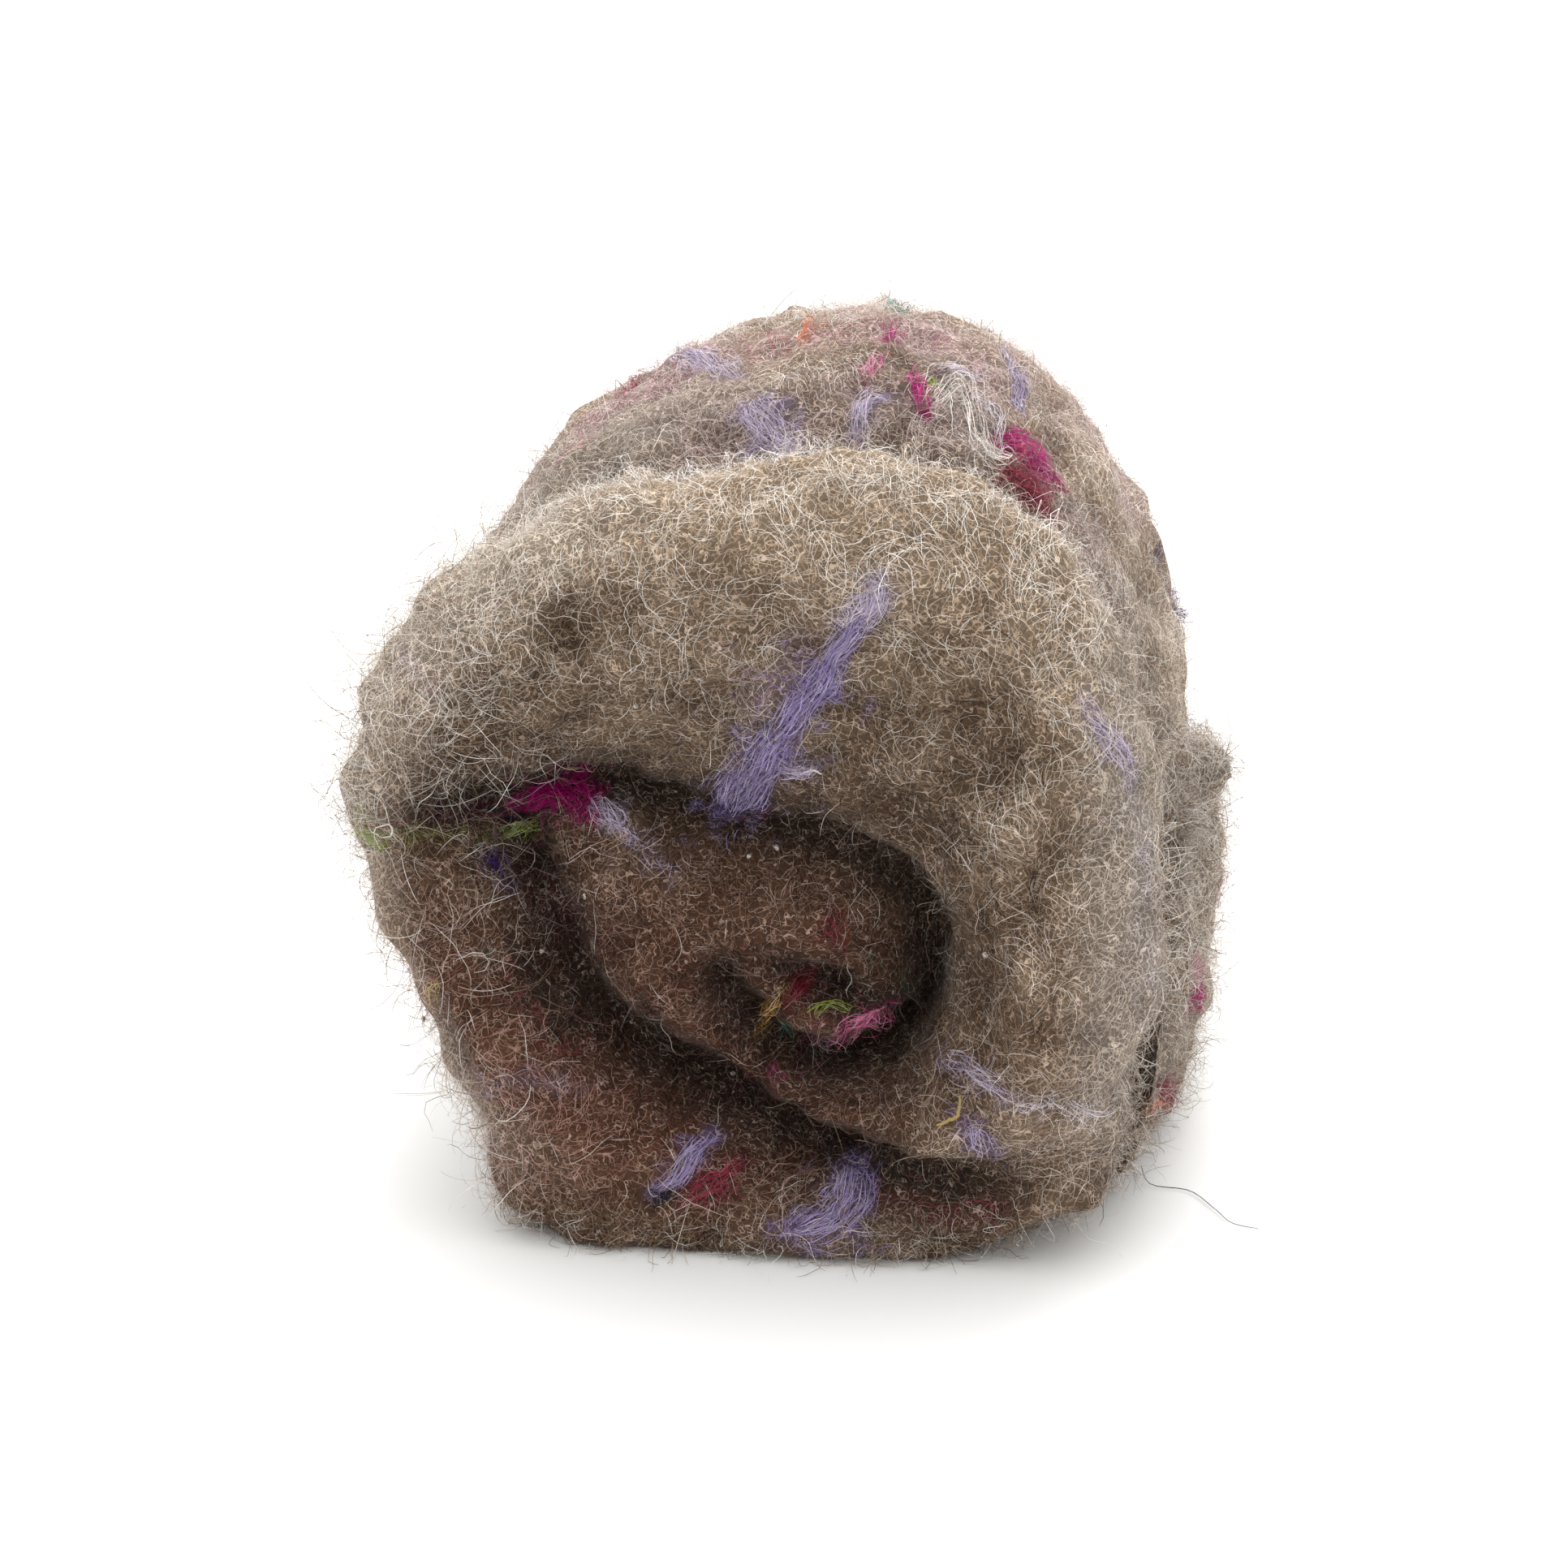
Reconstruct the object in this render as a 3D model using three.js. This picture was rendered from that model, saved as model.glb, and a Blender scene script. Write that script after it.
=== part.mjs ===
// A carded fibre batt, rolled up and lying on its side.
// Sizes are in millimetres. X is across the roll, Y runs along it, away from the end with the
// open spiral, and Z is up. The roll lies on the plane Z = 0.
import * as THREE from "three";

// The roll

const AXIS = { x: 2, z: 62 }; // the middle of the roll, which its outline is measured from
const CORE = { x: 17, z: 46 }; // where the batt's inner end is curled, low and right of the middle
const CORE_EASES_AT = 0.85; // the rings leave the core for the axis by this share of the reach
const SECTORS = 72;

// How far the roll reaches from its axis: `near` is the bulging end that faces the viewer, `wrap`
// is the last turn of batt round the rest of the roll. Rows are evenly spaced round the axis,
// from +X towards +Z. What would pass below the plane Z = 0 is pressed flat on it.
const OUTLINE = [
  { deg: 0, near: 67.5, wrap: 64 },
  { deg: 22.5, near: 70, wrap: 65 },
  { deg: 45, near: 73.5, wrap: 70.5 },
  { deg: 67.5, near: 71, wrap: 76 },
  { deg: 90, near: 65, wrap: 74 },
  { deg: 112.5, near: 64.5, wrap: 71 },
  { deg: 135, near: 64.5, wrap: 68 },
  { deg: 157.5, near: 65.5, wrap: 65.5 },
  { deg: 180, near: 63.5, wrap: 63 },
  { deg: 202.5, near: 58, wrap: 60.5 },
  { deg: 225, near: 64, wrap: 65.5 },
  { deg: 247.5, near: 76, wrap: 73 },
  { deg: 270, near: 70, wrap: 68 },
  { deg: 292.5, near: 77, wrap: 74 },
  { deg: 315, near: 83, wrap: 83 },
  { deg: 337.5, near: 72, wrap: 69 },
];

// The roll from one end to the other: each row is a ring at `y`, whose reach is `near` times the
// near outline plus `wrap` times the other one. `rings` is how many steps lead to the next row.
const STATIONS = [
  { y: -57, near: 0, wrap: 0, rings: 5 },
  { y: -58, near: 0.22, wrap: 0, rings: 6 },
  { y: -62, near: 0.47, wrap: 0, rings: 6 },
  { y: -66, near: 0.72, wrap: 0, rings: 5 },
  { y: -62, near: 0.91, wrap: 0, rings: 4 },
  { y: -48, near: 1, wrap: 0, rings: 4 },
  { y: -30, near: 0.76, wrap: 0.2, rings: 4 },
  { y: -14, near: 0.14, wrap: 0.82, rings: 3 },
  { y: 6, near: 0, wrap: 0.995, rings: 3 },
  { y: 34, near: 0, wrap: 1, rings: 3 },
  { y: 64, near: 0, wrap: 0.965, rings: 3 },
  { y: 88, near: 0, wrap: 0.87, rings: 3 },
  { y: 101, near: 0, wrap: 0.68, rings: 3 },
  { y: 104, near: 0, wrap: 0.44, rings: 3 },
  { y: 102, near: 0, wrap: 0.2, rings: 2 },
  { y: 101, near: 0, wrap: 0, rings: 0 },
];
// Where the side of the roll is, counted in rows of the table above.
const SIDE = { rim: 3.3, from: 5, to: 11, farRim: 12.6 };

// Creases between the turns, seen along the roll. Each is a curve through its rows. `depth` is how
// far the surface is drawn in on the curve, and `width` is how far out of it the turns are rounded.
const SPIRAL = [
  { x: -66, z: 71, depth: 4, width: 5 },
  { x: -53, z: 70, depth: 6, width: 6 },
  { x: -40, z: 71, depth: 9, width: 7 },
  { x: -24, z: 74, depth: 13, width: 8 },
  { x: -10, z: 72, depth: 12, width: 8 },
  { x: 6, z: 68.5, depth: 10, width: 7 },
  { x: 20, z: 65, depth: 11, width: 6.5 },
  { x: 29, z: 58, depth: 12, width: 6 },
  { x: 32.5, z: 48.5, depth: 13, width: 5.5 },
  { x: 29, z: 38.5, depth: 13, width: 5.5 },
  { x: 18, z: 33.5, depth: 12, width: 5.5 },
  { x: 7, z: 36.5, depth: 10, width: 5.5 },
  { x: -1, z: 46, depth: 7, width: 6 },
];
const LOWER_TURN = [
  { x: -34, z: 66, depth: 13, width: 7 },
  { x: -28.5, z: 54, depth: 12, width: 7 },
  { x: -24, z: 43, depth: 10, width: 7 },
  { x: -17, z: 33.5, depth: 11, width: 6 },
  { x: -3, z: 24.5, depth: 12, width: 6 },
  { x: 12, z: 17, depth: 13, width: 6 },
  { x: 30, z: 12, depth: 12, width: 6 },
  { x: 46, z: 13.5, depth: 11, width: 6 },
  { x: 60, z: 20, depth: 8, width: 6 },
  { x: 72, z: 31, depth: 4, width: 5 },
];
const CORE_SLIT = [
  { x: 10, z: 50, depth: 3, width: 4.5 },
  { x: 17, z: 47, depth: 6, width: 4.5 },
  { x: 24, z: 44, depth: 3, width: 4.5 },
];
const CREASES = [SPIRAL, LOWER_TURN, CORE_SLIT];
const CREASE_POINTS = 60; // points along each crease that a distance is measured to
// A crease has a steep part and, round it, the turns' wide round shoulders: the share of the depth
// that each makes up, and how much wider the shoulders are.
const PROFILE = { steep: 0.6, shoulders: 0.4, wider: 1.8 };

// How much of a crease's depth is left along the roll: all of it at the near end, some along the
// side, where only the edge of the outer turn shows, and about half at the far end.
const CREASE_SHARE = [
  { y: -50, share: 1 },
  { y: -30, share: 0.75 },
  { y: 80, share: 0.45 },
  { y: 96, share: 0.6 },
];

// The valley behind the near bulge, where the last turn begins: how deep it is by angle.
const VALLEY = { y: -27, width: 10, slant: 5 };
const VALLEY_DEPTH = [
  { deg: 0, depth: 9 },
  { deg: 45, depth: 17 },
  { deg: 90, depth: 14 },
  { deg: 135, depth: 12 },
  { deg: 180, depth: 6 },
  { deg: 225, depth: 0 },
  { deg: 270, depth: 0 },
  { deg: 315, depth: 0 },
];

// Lumps and hollows of the soft wool, by angle and place along the roll.
const LUMPS_GROW = { from: 0.5, to: 0.9 }; // shares of the reach between which they set in
const LUMPS = [
  { deg: 76, y: 18, height: 3, size: 26 },
  { deg: 108, y: 4, height: -2.5, size: 18 },
  { deg: 124, y: 26, height: 2.5, size: 24 },
  { deg: 40, y: 30, height: 2, size: 26 },
  { deg: 100, y: -52, height: -1.5, size: 14 },
  { deg: 62, y: -50, height: 1.5, size: 18 },
  { deg: 150, y: -48, height: 1.5, size: 16 },
  { deg: 10, y: 58, height: 2.5, size: 26 },
  { deg: 60, y: 78, height: -3, size: 24 },
  { deg: 100, y: 70, height: 2, size: 22 },
  { deg: 160, y: 50, height: 2.5, size: 28 },
  { deg: 190, y: 10, height: -2, size: 26 },
  { deg: 205, y: 76, height: 2, size: 24 },
];

// The loose end of the batt, a thin sheet that laps up the right side of the roll

const LOOSE_END = {
  gap: 0.35, // between it and the roll
  thickness: 7,
  edge: 1.4, // its thickness at the torn edges
  yFrom: -38,
  yTo: 64,
  lowDeg: -44, // the angle of its lower edge, at the floor
  wispsFrom: 0.7, // the share of its height where the wisps begin to stand off
  wispsFull: 0.9,
  columns: 16, // steps round the roll
  rows: 20, // steps along the roll
};
// The torn upper edge, along the roll: `top` is the angle it reaches, and `proud` is how far the
// wisps stand off the sheet there.
const TORN_EDGE = [
  { y: -38, top: -14, proud: 0 },
  { y: -28, top: 2, proud: 0 },
  { y: -16, top: 8, proud: 1 },
  { y: -7, top: 11, proud: 6.5 },
  { y: 3, top: 6, proud: 3 },
  { y: 18, top: 4, proud: 0.5 },
  { y: 34, top: 1, proud: 2 },
  { y: 50, top: -5, proud: 0.5 },
  { y: 64, top: -17, proud: 0 },
];

const TAU = Math.PI * 2;
const radians = THREE.MathUtils.degToRad;
const smoothstep = THREE.MathUtils.smoothstep;

// A smooth curve through four even steps, at a share t between the middle two.
function catmullRom(a, b, c, d, t) {
  const straight = 0.5 * (c - a) * t;
  const square = (a - 2.5 * b + 2 * c - 0.5 * d) * t * t;
  const cube = (1.5 * b - 0.5 * a - 1.5 * c + 0.5 * d) * t * t * t;
  return b + straight + square + cube;
}

// A column of a table whose rows are evenly spaced round the axis.
function roundTable(table, column, angle) {
  const at = ((((angle % TAU) + TAU) % TAU) / TAU) * table.length;
  const i = Math.floor(at);
  const value = (k) => table[(i + k + table.length) % table.length][column];
  return catmullRom(value(-1), value(0), value(1), value(2), at - i);
}

// A column of a table at a place between its rows, counted in rows.
function alongRows(table, column, at) {
  const last = table.length - 1;
  const i = Math.min(Math.floor(at), last - 1);
  const value = (k) => table[Math.min(Math.max(i + k, 0), last)][column];
  return catmullRom(value(-1), value(0), value(1), value(2), at - i);
}

// A column of a table by the value of its `y` column, eased from row to row.
function byY(table, column, y) {
  const next = table.findIndex((row) => row.y > y);
  if (next < 0) return table[table.length - 1][column];
  if (next === 0) return table[0][column];
  const a = table[next - 1];
  const b = table[next];
  const share = smoothstep(y, a.y, b.y);
  return a[column] + (b[column] - a[column]) * share;
}

// A smooth hump: 1 in its middle, and nearly 0 two widths out.
function bell(ratio) {
  return Math.exp(-ratio * ratio);
}

// Points close together along each crease, with its depth and width there.
const creasePoints = CREASES.map((rows) =>
  Array.from({ length: CREASE_POINTS + 1 }, (_, k) => {
    const at = (k / CREASE_POINTS) * (rows.length - 1);
    return {
      x: alongRows(rows, "x", at),
      z: alongRows(rows, "z", at),
      depth: alongRows(rows, "depth", at),
      width: alongRows(rows, "width", at),
    };
  }),
);

// How far one crease draws the surface in at a point.
function depthNear(points, point) {
  let nearest = points[0];
  let least = Infinity;
  for (const p of points) {
    const away = Math.hypot(point.x - p.x, point.z - p.z);
    if (away < least) [nearest, least] = [p, away];
  }
  const ratio = least / nearest.width;
  const steep = PROFILE.steep * bell(ratio);
  const shoulders = PROFILE.shoulders * bell(ratio / PROFILE.wider);
  return nearest.depth * (steep + shoulders);
}

// How far all the creases draw it in: where two meet, the surface stays smooth.
function creaseDepth(point) {
  const sum = creasePoints.reduce((total, points) => total + depthNear(points, point) ** 3, 0);
  return Math.cbrt(sum) * byY(CREASE_SHARE, "share", point.y);
}

function valleyDepth(angle, y) {
  const middle = VALLEY.y - VALLEY.slant * Math.cos(angle);
  const depth = Math.max(roundTable(VALLEY_DEPTH, "depth", angle), 0);
  return depth * bell((y - middle) / VALLEY.width);
}

function lumpHeight(angle, y, reach) {
  let height = 0;
  for (const lump of LUMPS) {
    const turn = THREE.MathUtils.euclideanModulo(angle - radians(lump.deg) + Math.PI, TAU) - Math.PI;
    height += lump.height * bell(Math.hypot(turn * reach, y - lump.y) / lump.size);
  }
  return height;
}

// The roll without its creases: `at` counts stations along it.
function plainSurface(angle, at) {
  const near = Math.max(alongRows(STATIONS, "near", at), 0);
  const wrap = Math.max(alongRows(STATIONS, "wrap", at), 0);
  const y = alongRows(STATIONS, "y", at);
  const share = near + wrap;
  const nearReach = near * roundTable(OUTLINE, "near", angle);
  const wrapReach = wrap * roundTable(OUTLINE, "wrap", angle);
  const reach = nearReach + wrapReach;
  const lumps = smoothstep(share, LUMPS_GROW.from, LUMPS_GROW.to) * lumpHeight(angle, y, reach);
  const ease = smoothstep(share, 0, CORE_EASES_AT);
  const x = THREE.MathUtils.lerp(CORE.x, AXIS.x, ease);
  const z = THREE.MathUtils.lerp(CORE.z, AXIS.z, ease);
  const out = reach + lumps;
  return new THREE.Vector3(x + out * Math.cos(angle), y, z + out * Math.sin(angle));
}

// The outward normal of the plain surface, from two short steps on it.
function plainNormal(angle, at) {
  const step = 0.02;
  const low = Math.min(Math.max(at, step), STATIONS.length - 1 - step);
  const round = plainSurface(angle + step, low).sub(plainSurface(angle - step, low));
  const along = plainSurface(angle, low + step).sub(plainSurface(angle, low - step));
  return along.cross(round).normalize();
}

// The way that a crease draws the surface in: along the roll on its two ends, and straight towards
// the axis on its side.
function inward(angle, at) {
  const end = new THREE.Vector3(0, at < SIDE.from ? 1 : -1, 0);
  const side = new THREE.Vector3(-Math.cos(angle), 0, -Math.sin(angle));
  const share = smoothstep(at, SIDE.rim, SIDE.from) * (1 - smoothstep(at, SIDE.to, SIDE.farRim));
  return end.lerp(side, share).normalize();
}

// A point `lift` outside the plain surface, or on the plane that the roll lies on.
function lifted(angle, at, lift) {
  const point = plainSurface(angle, at).addScaledVector(plainNormal(angle, at), lift);
  point.z = Math.max(point.z, 0);
  return point;
}

// A point of the roll's finished surface.
function creased(angle, at) {
  const point = plainSurface(angle, at);
  const depth = creaseDepth(point) + valleyDepth(angle, point.y);
  point.addScaledVector(inward(angle, at), depth);
  point.z = Math.max(point.z, 0);
  return point;
}

function geometryFrom(points, triangles) {
  const geometry = new THREE.BufferGeometry().setFromPoints(points);
  geometry.setIndex(triangles);
  geometry.computeVertexNormals();
  return geometry;
}

// The places of the rings along the roll, counted in stations, without the two poles.
function ringPlaces() {
  const places = [];
  STATIONS.forEach((station, i) => {
    for (let k = 0; k < station.rings; k += 1) places.push(i + k / station.rings);
  });
  return places.slice(1);
}

function rollGeometry() {
  const rings = ringPlaces();
  const points = [creased(0, 0)];
  for (const at of rings) {
    for (let s = 0; s < SECTORS; s += 1) points.push(creased((s / SECTORS) * TAU, at));
  }
  points.push(creased(0, STATIONS.length - 1));
  const last = points.length - 1;
  const index = (ring, sector) => 1 + ring * SECTORS + (sector % SECTORS);
  const triangles = [];
  for (let s = 0; s < SECTORS; s += 1) {
    triangles.push(0, index(0, s), index(0, s + 1));
    for (let r = 0; r < rings.length - 1; r += 1) {
      triangles.push(index(r, s), index(r + 1, s), index(r + 1, s + 1));
      triangles.push(index(r, s), index(r + 1, s + 1), index(r, s + 1));
    }
    triangles.push(last, index(rings.length - 1, s + 1), index(rings.length - 1, s));
  }
  return geometryFrom(points, triangles);
}

// The place along the roll, counted in stations, where the plain surface is at this y.
function stationAt(y) {
  const [first, end] = [5, 12]; // the stations between which y only grows
  let [low, high] = [first, end];
  while (high - low > 1e-4) {
    const middle = (low + high) / 2;
    if (alongRows(STATIONS, "y", middle) < y) low = middle;
    else high = middle;
  }
  return low;
}

function looseEndGeometry() {
  const { gap, thickness, edge, yFrom, yTo, lowDeg, columns, rows } = LOOSE_END;
  const { wispsFrom, wispsFull } = LOOSE_END;
  const inner = [];
  const outer = [];
  for (let r = 0; r <= rows; r += 1) {
    const y = yFrom + (yTo - yFrom) * (r / rows);
    const at = stationAt(y);
    const top = byY(TORN_EDGE, "top", y);
    const proud = byY(TORN_EDGE, "proud", y);
    const full = Math.sin(Math.PI * (r / rows)) ** 0.5;
    for (let c = 0; c <= columns; c += 1) {
      const share = c / columns;
      const angle = radians(lowDeg + (top - lowDeg) * share);
      const wisp = proud * smoothstep(share, wispsFrom, wispsFull);
      const thick = edge + (thickness - edge) * full * (1 - share ** 4) + wisp;
      inner.push(lifted(angle, at, gap));
      outer.push(lifted(angle, at, gap + thick));
    }
  }
  const points = [...inner, ...outer];
  const index = (layer, r, c) => layer * inner.length + r * (columns + 1) + c;
  const triangles = [];
  const quad = (a, b, c, d) => triangles.push(a, b, c, a, c, d);
  for (let r = 0; r < rows; r += 1) {
    for (let c = 0; c < columns; c += 1) {
      quad(index(1, r, c), index(1, r + 1, c), index(1, r + 1, c + 1), index(1, r, c + 1));
      quad(index(0, r, c), index(0, r, c + 1), index(0, r + 1, c + 1), index(0, r + 1, c));
    }
    quad(index(0, r, 0), index(0, r + 1, 0), index(1, r + 1, 0), index(1, r, 0));
    quad(index(1, r, columns), index(1, r + 1, columns), index(0, r + 1, columns), index(0, r, columns));
  }
  for (let c = 0; c < columns; c += 1) {
    quad(index(0, 0, c), index(1, 0, c), index(1, 0, c + 1), index(0, 0, c + 1));
    quad(index(1, rows, c), index(0, rows, c), index(0, rows, c + 1), index(1, rows, c + 1));
  }
  return geometryFrom(points, triangles);
}

// Carded wool: a matt taupe mass of fine crimped fibres.
function wool() {
  return new THREE.MeshStandardMaterial({ color: 0x8b7f76, roughness: 0.95, metalness: 0 });
}

function named(name, geometry) {
  const mesh = new THREE.Mesh(geometry, wool());
  mesh.name = name;
  return mesh;
}

const batt = new THREE.Group();
batt.add(named("batt_roll", rollGeometry()));
batt.add(named("loose_end", looseEndGeometry()));

// The origin is the middle of the footprint.
const box = new THREE.Box3().setFromObject(batt);
const middle = box.getCenter(new THREE.Vector3());
batt.position.set(-middle.x, -middle.y, -box.min.z);

export default batt;
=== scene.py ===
import math

import bpy
import numpy as np
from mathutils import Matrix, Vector
from mathutils.bvhtree import BVHTree


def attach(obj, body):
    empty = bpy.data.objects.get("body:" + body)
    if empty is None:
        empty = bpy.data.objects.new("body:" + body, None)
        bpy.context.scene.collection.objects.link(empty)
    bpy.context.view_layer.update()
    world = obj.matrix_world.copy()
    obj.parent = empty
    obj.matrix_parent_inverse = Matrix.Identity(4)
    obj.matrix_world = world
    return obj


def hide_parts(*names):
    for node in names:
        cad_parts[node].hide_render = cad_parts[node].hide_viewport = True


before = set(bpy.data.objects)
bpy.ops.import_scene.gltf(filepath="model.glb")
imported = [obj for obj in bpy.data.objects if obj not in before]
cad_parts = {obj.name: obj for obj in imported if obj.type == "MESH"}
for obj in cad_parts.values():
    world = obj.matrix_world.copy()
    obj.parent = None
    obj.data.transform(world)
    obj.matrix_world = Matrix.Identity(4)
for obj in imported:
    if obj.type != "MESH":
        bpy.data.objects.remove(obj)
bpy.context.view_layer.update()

MM = 0.001
ORIGIN_MM = np.array([6.1, 18.9, 0.0])  # the part's origin, in the sizes used here
AXIS_MM = np.array([2.0, 0.0, 62.0])  # the middle line of the roll, along Y

# The camera, fitted to the photograph's outline
PHOTO_SIDE_PX = 1932
LENS_MM = 70
SENSOR_MM = 36
AZIMUTH_DEG = 10
ELEVATION_DEG = 17
DISTANCE_MM = 530
AIM_MM = np.array([0.0, 0.0, 60.0])
CLIP_START_M = 0.01

# The wool's main sizes
BODY_VOXEL_MM = 1.9
END_VOXEL_MM = 1.5
SMOOTHING_STEPS = 5
FIBRE_ROOM_MM = 1.0  # the body stays this far inside the solid, and its fibres fill the rest
WELD_MM = 0.01
LUMP_MM = 1.05
SWELL_MM = 3.2  # how far the loose end puffs out, before its waves
FOOT_LIFT_MM = 2.6  # how far the edge of the flat spot lifts off the floor, here and there
CORNER_LIFT_MM = 9  # how far the near right corner of the flat spot rounds up off the floor
RIM_MM = (48, 62)  # from the axis: where the near end rounds over into the roll's side
TORN_EDGE_MM = 73  # how high the loose end's torn edge is
CREASE_POINTS = 90  # how many points each crease's curve has

# Colours, as sRGB
DARK_BROWN = "2f1e16"
BROWN = "735a44"
TAUPE = "97826d"
PALE = "c8beb3"
CREAM = "ebe5df"
RUSSET = "6a3827"
TAN = "b59a63"
LAVENDER = "917fb2"
PALE_LAVENDER = "b8a9c6"
SILVER = "c6c0cc"
MAGENTA = "ad0a70"
PINK = "c45288"
DUSTY_PINK = "b49a9c"
CRIMSON = "8a2540"
WINE = "571a30"
DEEP_RED = "6b1a26"
GREEN = "8a9c20"
TEAL = "2c7a6c"
OCHRE = "b98a1e"
ORANGE = "c2602a"
PURPLE = "43296b"
NAVY = "171b33"

rng = np.random.default_rng(1134)


def linear(colour):
    """An sRGB hex colour as three linear numbers."""
    values = np.array([int(colour[i : i + 2], 16) for i in (0, 2, 4)]) / 255
    return np.where(values <= 0.04045, values / 12.92, ((values + 0.055) / 1.055) ** 2.4)


def metres(points_mm):
    """Points from this script's millimetres to the frame's metres."""
    return (np.asarray(points_mm, float) - ORIGIN_MM) * MM


def millimetres(points):
    """Points from the frame's metres back to this script's millimetres."""
    return np.asarray(points, float) / MM + ORIGIN_MM


def smoothstep(values, low, high):
    share = np.clip((values - low) / (high - low), 0, 1)
    return share * share * (3 - 2 * share)


def unit(vectors):
    return vectors / (np.linalg.norm(vectors, axis=-1, keepdims=True) + 1e-12)


def from_axis(points_mm):
    """How far each point lies from the roll's axis: across, up, and straight out."""
    x, _, z = (points_mm - AXIS_MM).T
    return x, z, np.hypot(x, z)


# The camera and the photograph's view


def camera_axes():
    """The camera's place and its back, right and up directions."""
    azimuth = math.radians(AZIMUTH_DEG)
    elevation = math.radians(ELEVATION_DEG)
    flat = math.cos(elevation)
    back = np.array([math.sin(azimuth) * flat, -math.cos(azimuth) * flat, math.sin(elevation)])
    right = unit(np.cross(-back, [0, 0, 1]))
    up = np.cross(right, -back)
    return AIM_MM + DISTANCE_MM * back, back, right, up


def make_camera():
    eye, back, _, _ = camera_axes()
    data = bpy.data.cameras.new("camera")
    data.lens = LENS_MM
    data.sensor_width = SENSOR_MM
    data.clip_start = CLIP_START_M
    camera = bpy.data.objects.new("camera", data)
    camera.location = metres(eye)
    camera.rotation_euler = Vector(back).to_track_quat("Z", "Y").to_euler()
    bpy.context.scene.collection.objects.link(camera)
    bpy.context.scene.camera = camera


def ray_through(photo_px):
    """The camera's place, and the way from it through a pixel of the photograph."""
    eye, back, right, up = camera_axes()
    per_px = SENSOR_MM / LENS_MM / PHOTO_SIDE_PX
    across = (photo_px[0] - PHOTO_SIDE_PX / 2) * per_px
    down = (photo_px[1] - PHOTO_SIDE_PX / 2) * per_px
    return eye, unit(-back + across * right - down * up)


# Curves and creases


def curve_through(table, at):
    """Points on a smooth curve through a table's rows, at row numbers that may have fractions."""
    padded = np.vstack([table[0], table, table[-1]])
    i = np.clip(at.astype(int), 0, len(table) - 2)
    t = (at - i)[:, None]
    a, b, c, d = (padded[i + k] for k in range(4))
    straight = 0.5 * (c - a) * t
    square = (a - 2.5 * b + 2 * c - 0.5 * d) * t**2
    cube = (1.5 * b - 0.5 * a - 1.5 * c + 0.5 * d) * t**3
    return b + straight + square + cube


# The creases between the turns, as in the part's source: each row is a place, across and up, then
# the depth and width of the narrow cleft that runs along the crease's bottom, which is finer than
# the solid shows. Where the depth is below 0, loose wool fills the crease instead.
SPIRAL = [
    (-66, 71, -6.5, 6),
    (-53, 70, -4, 5),
    (-40, 71, 6, 3.5),
    (-24, 74, 7, 3),
    (-10, 72, 5, 2.5),
    (6, 68.5, 4, 2.5),
    (20, 65, 5, 2.5),
    (29, 58, 7, 2.5),
    (32.5, 48.5, 8, 2.5),
    (29, 38.5, 10, 2.5),
    (18, 33.5, 10, 2.5),
    (7, 36.5, 8, 2.5),
    (-1, 46, 4, 2.5),
]
LOWER_TURN = [
    (-34, 66, 8, 3.5),
    (-28.5, 54, 5, 3),
    (-24, 43, 5, 3),
    (-17, 33.5, 6, 2.5),
    (-3, 24.5, 7, 2.5),
    (12, 17, 7, 2.5),
    (30, 12, 5, 2.5),
    (46, 13.5, 2, 2.5),
    (60, 20, 0, 2.5),
    (72, 31, 0, 2.5),
]
CORE_SLIT = [
    (9, 50, 2, 2),
    (17, 47, 5, 2.5),
    (25, 44, 2, 2),
]
# The core hangs a little lower than in the solid, as the photograph shows it
CORE = {"x": 14, "z": 42, "reach": 24, "drop": 5}


def core_drop_at(x, z):
    """How much lower each place near the core lies than in the solid, in mm."""
    away = np.hypot(x - CORE["x"], z - CORE["z"]) / CORE["reach"]
    return CORE["drop"] * (1 - smoothstep(away, 0.35, 1))


def crease_curve(rows):
    table = np.array(rows, float)
    curve = curve_through(table, np.linspace(0, len(table) - 1, CREASE_POINTS))
    curve[:, 1] -= core_drop_at(curve[:, 0], curve[:, 1])
    return curve


# Each crease with how far from it the painted shade reaches, in mm
SHADE_REACHES = [(SPIRAL, 5), (LOWER_TURN, 6.3), (CORE_SLIT, 4)]
CREASES = [(crease_curve(rows), reach) for rows, reach in SHADE_REACHES]


def crease_at(points_mm):
    """How deep the clefts are at each point, and how near it lies to a crease, from 0 to 1, for the
    painted shade.
    """
    depth = np.zeros(len(points_mm))
    near = np.zeros(len(points_mm))
    for crease, reach in CREASES:
        across, up = points_mm[:, :1] - crease[:, 0], points_mm[:, 2:] - crease[:, 1]
        away = np.hypot(across, up)
        k = away.argmin(1)
        least = away.min(1)
        own = crease[k, 2] * np.exp(-((least / crease[k, 3]) ** 2))
        depth = np.where(np.abs(own) > np.abs(depth), own, depth)
        near = np.maximum(near, np.exp(-((least / reach) ** 2)))
    on_end = 1 - 0.6 * smoothstep(points_mm[:, 1], -44, -18)
    x = points_mm[:, 0]
    shaded = (1 - 0.8 * smoothstep(x, 36, 54)) * (1 - 0.75 * smoothstep(-x, 42, 58))
    return depth * on_end, near * on_end * shaded


# The valley behind the near bulge: where it crosses the roll's top, how much nearer it comes on the
# right, and how deep its cleft is, in mm
VALLEY = {"y": -27, "slant": 5, "cleft": 5}


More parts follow.
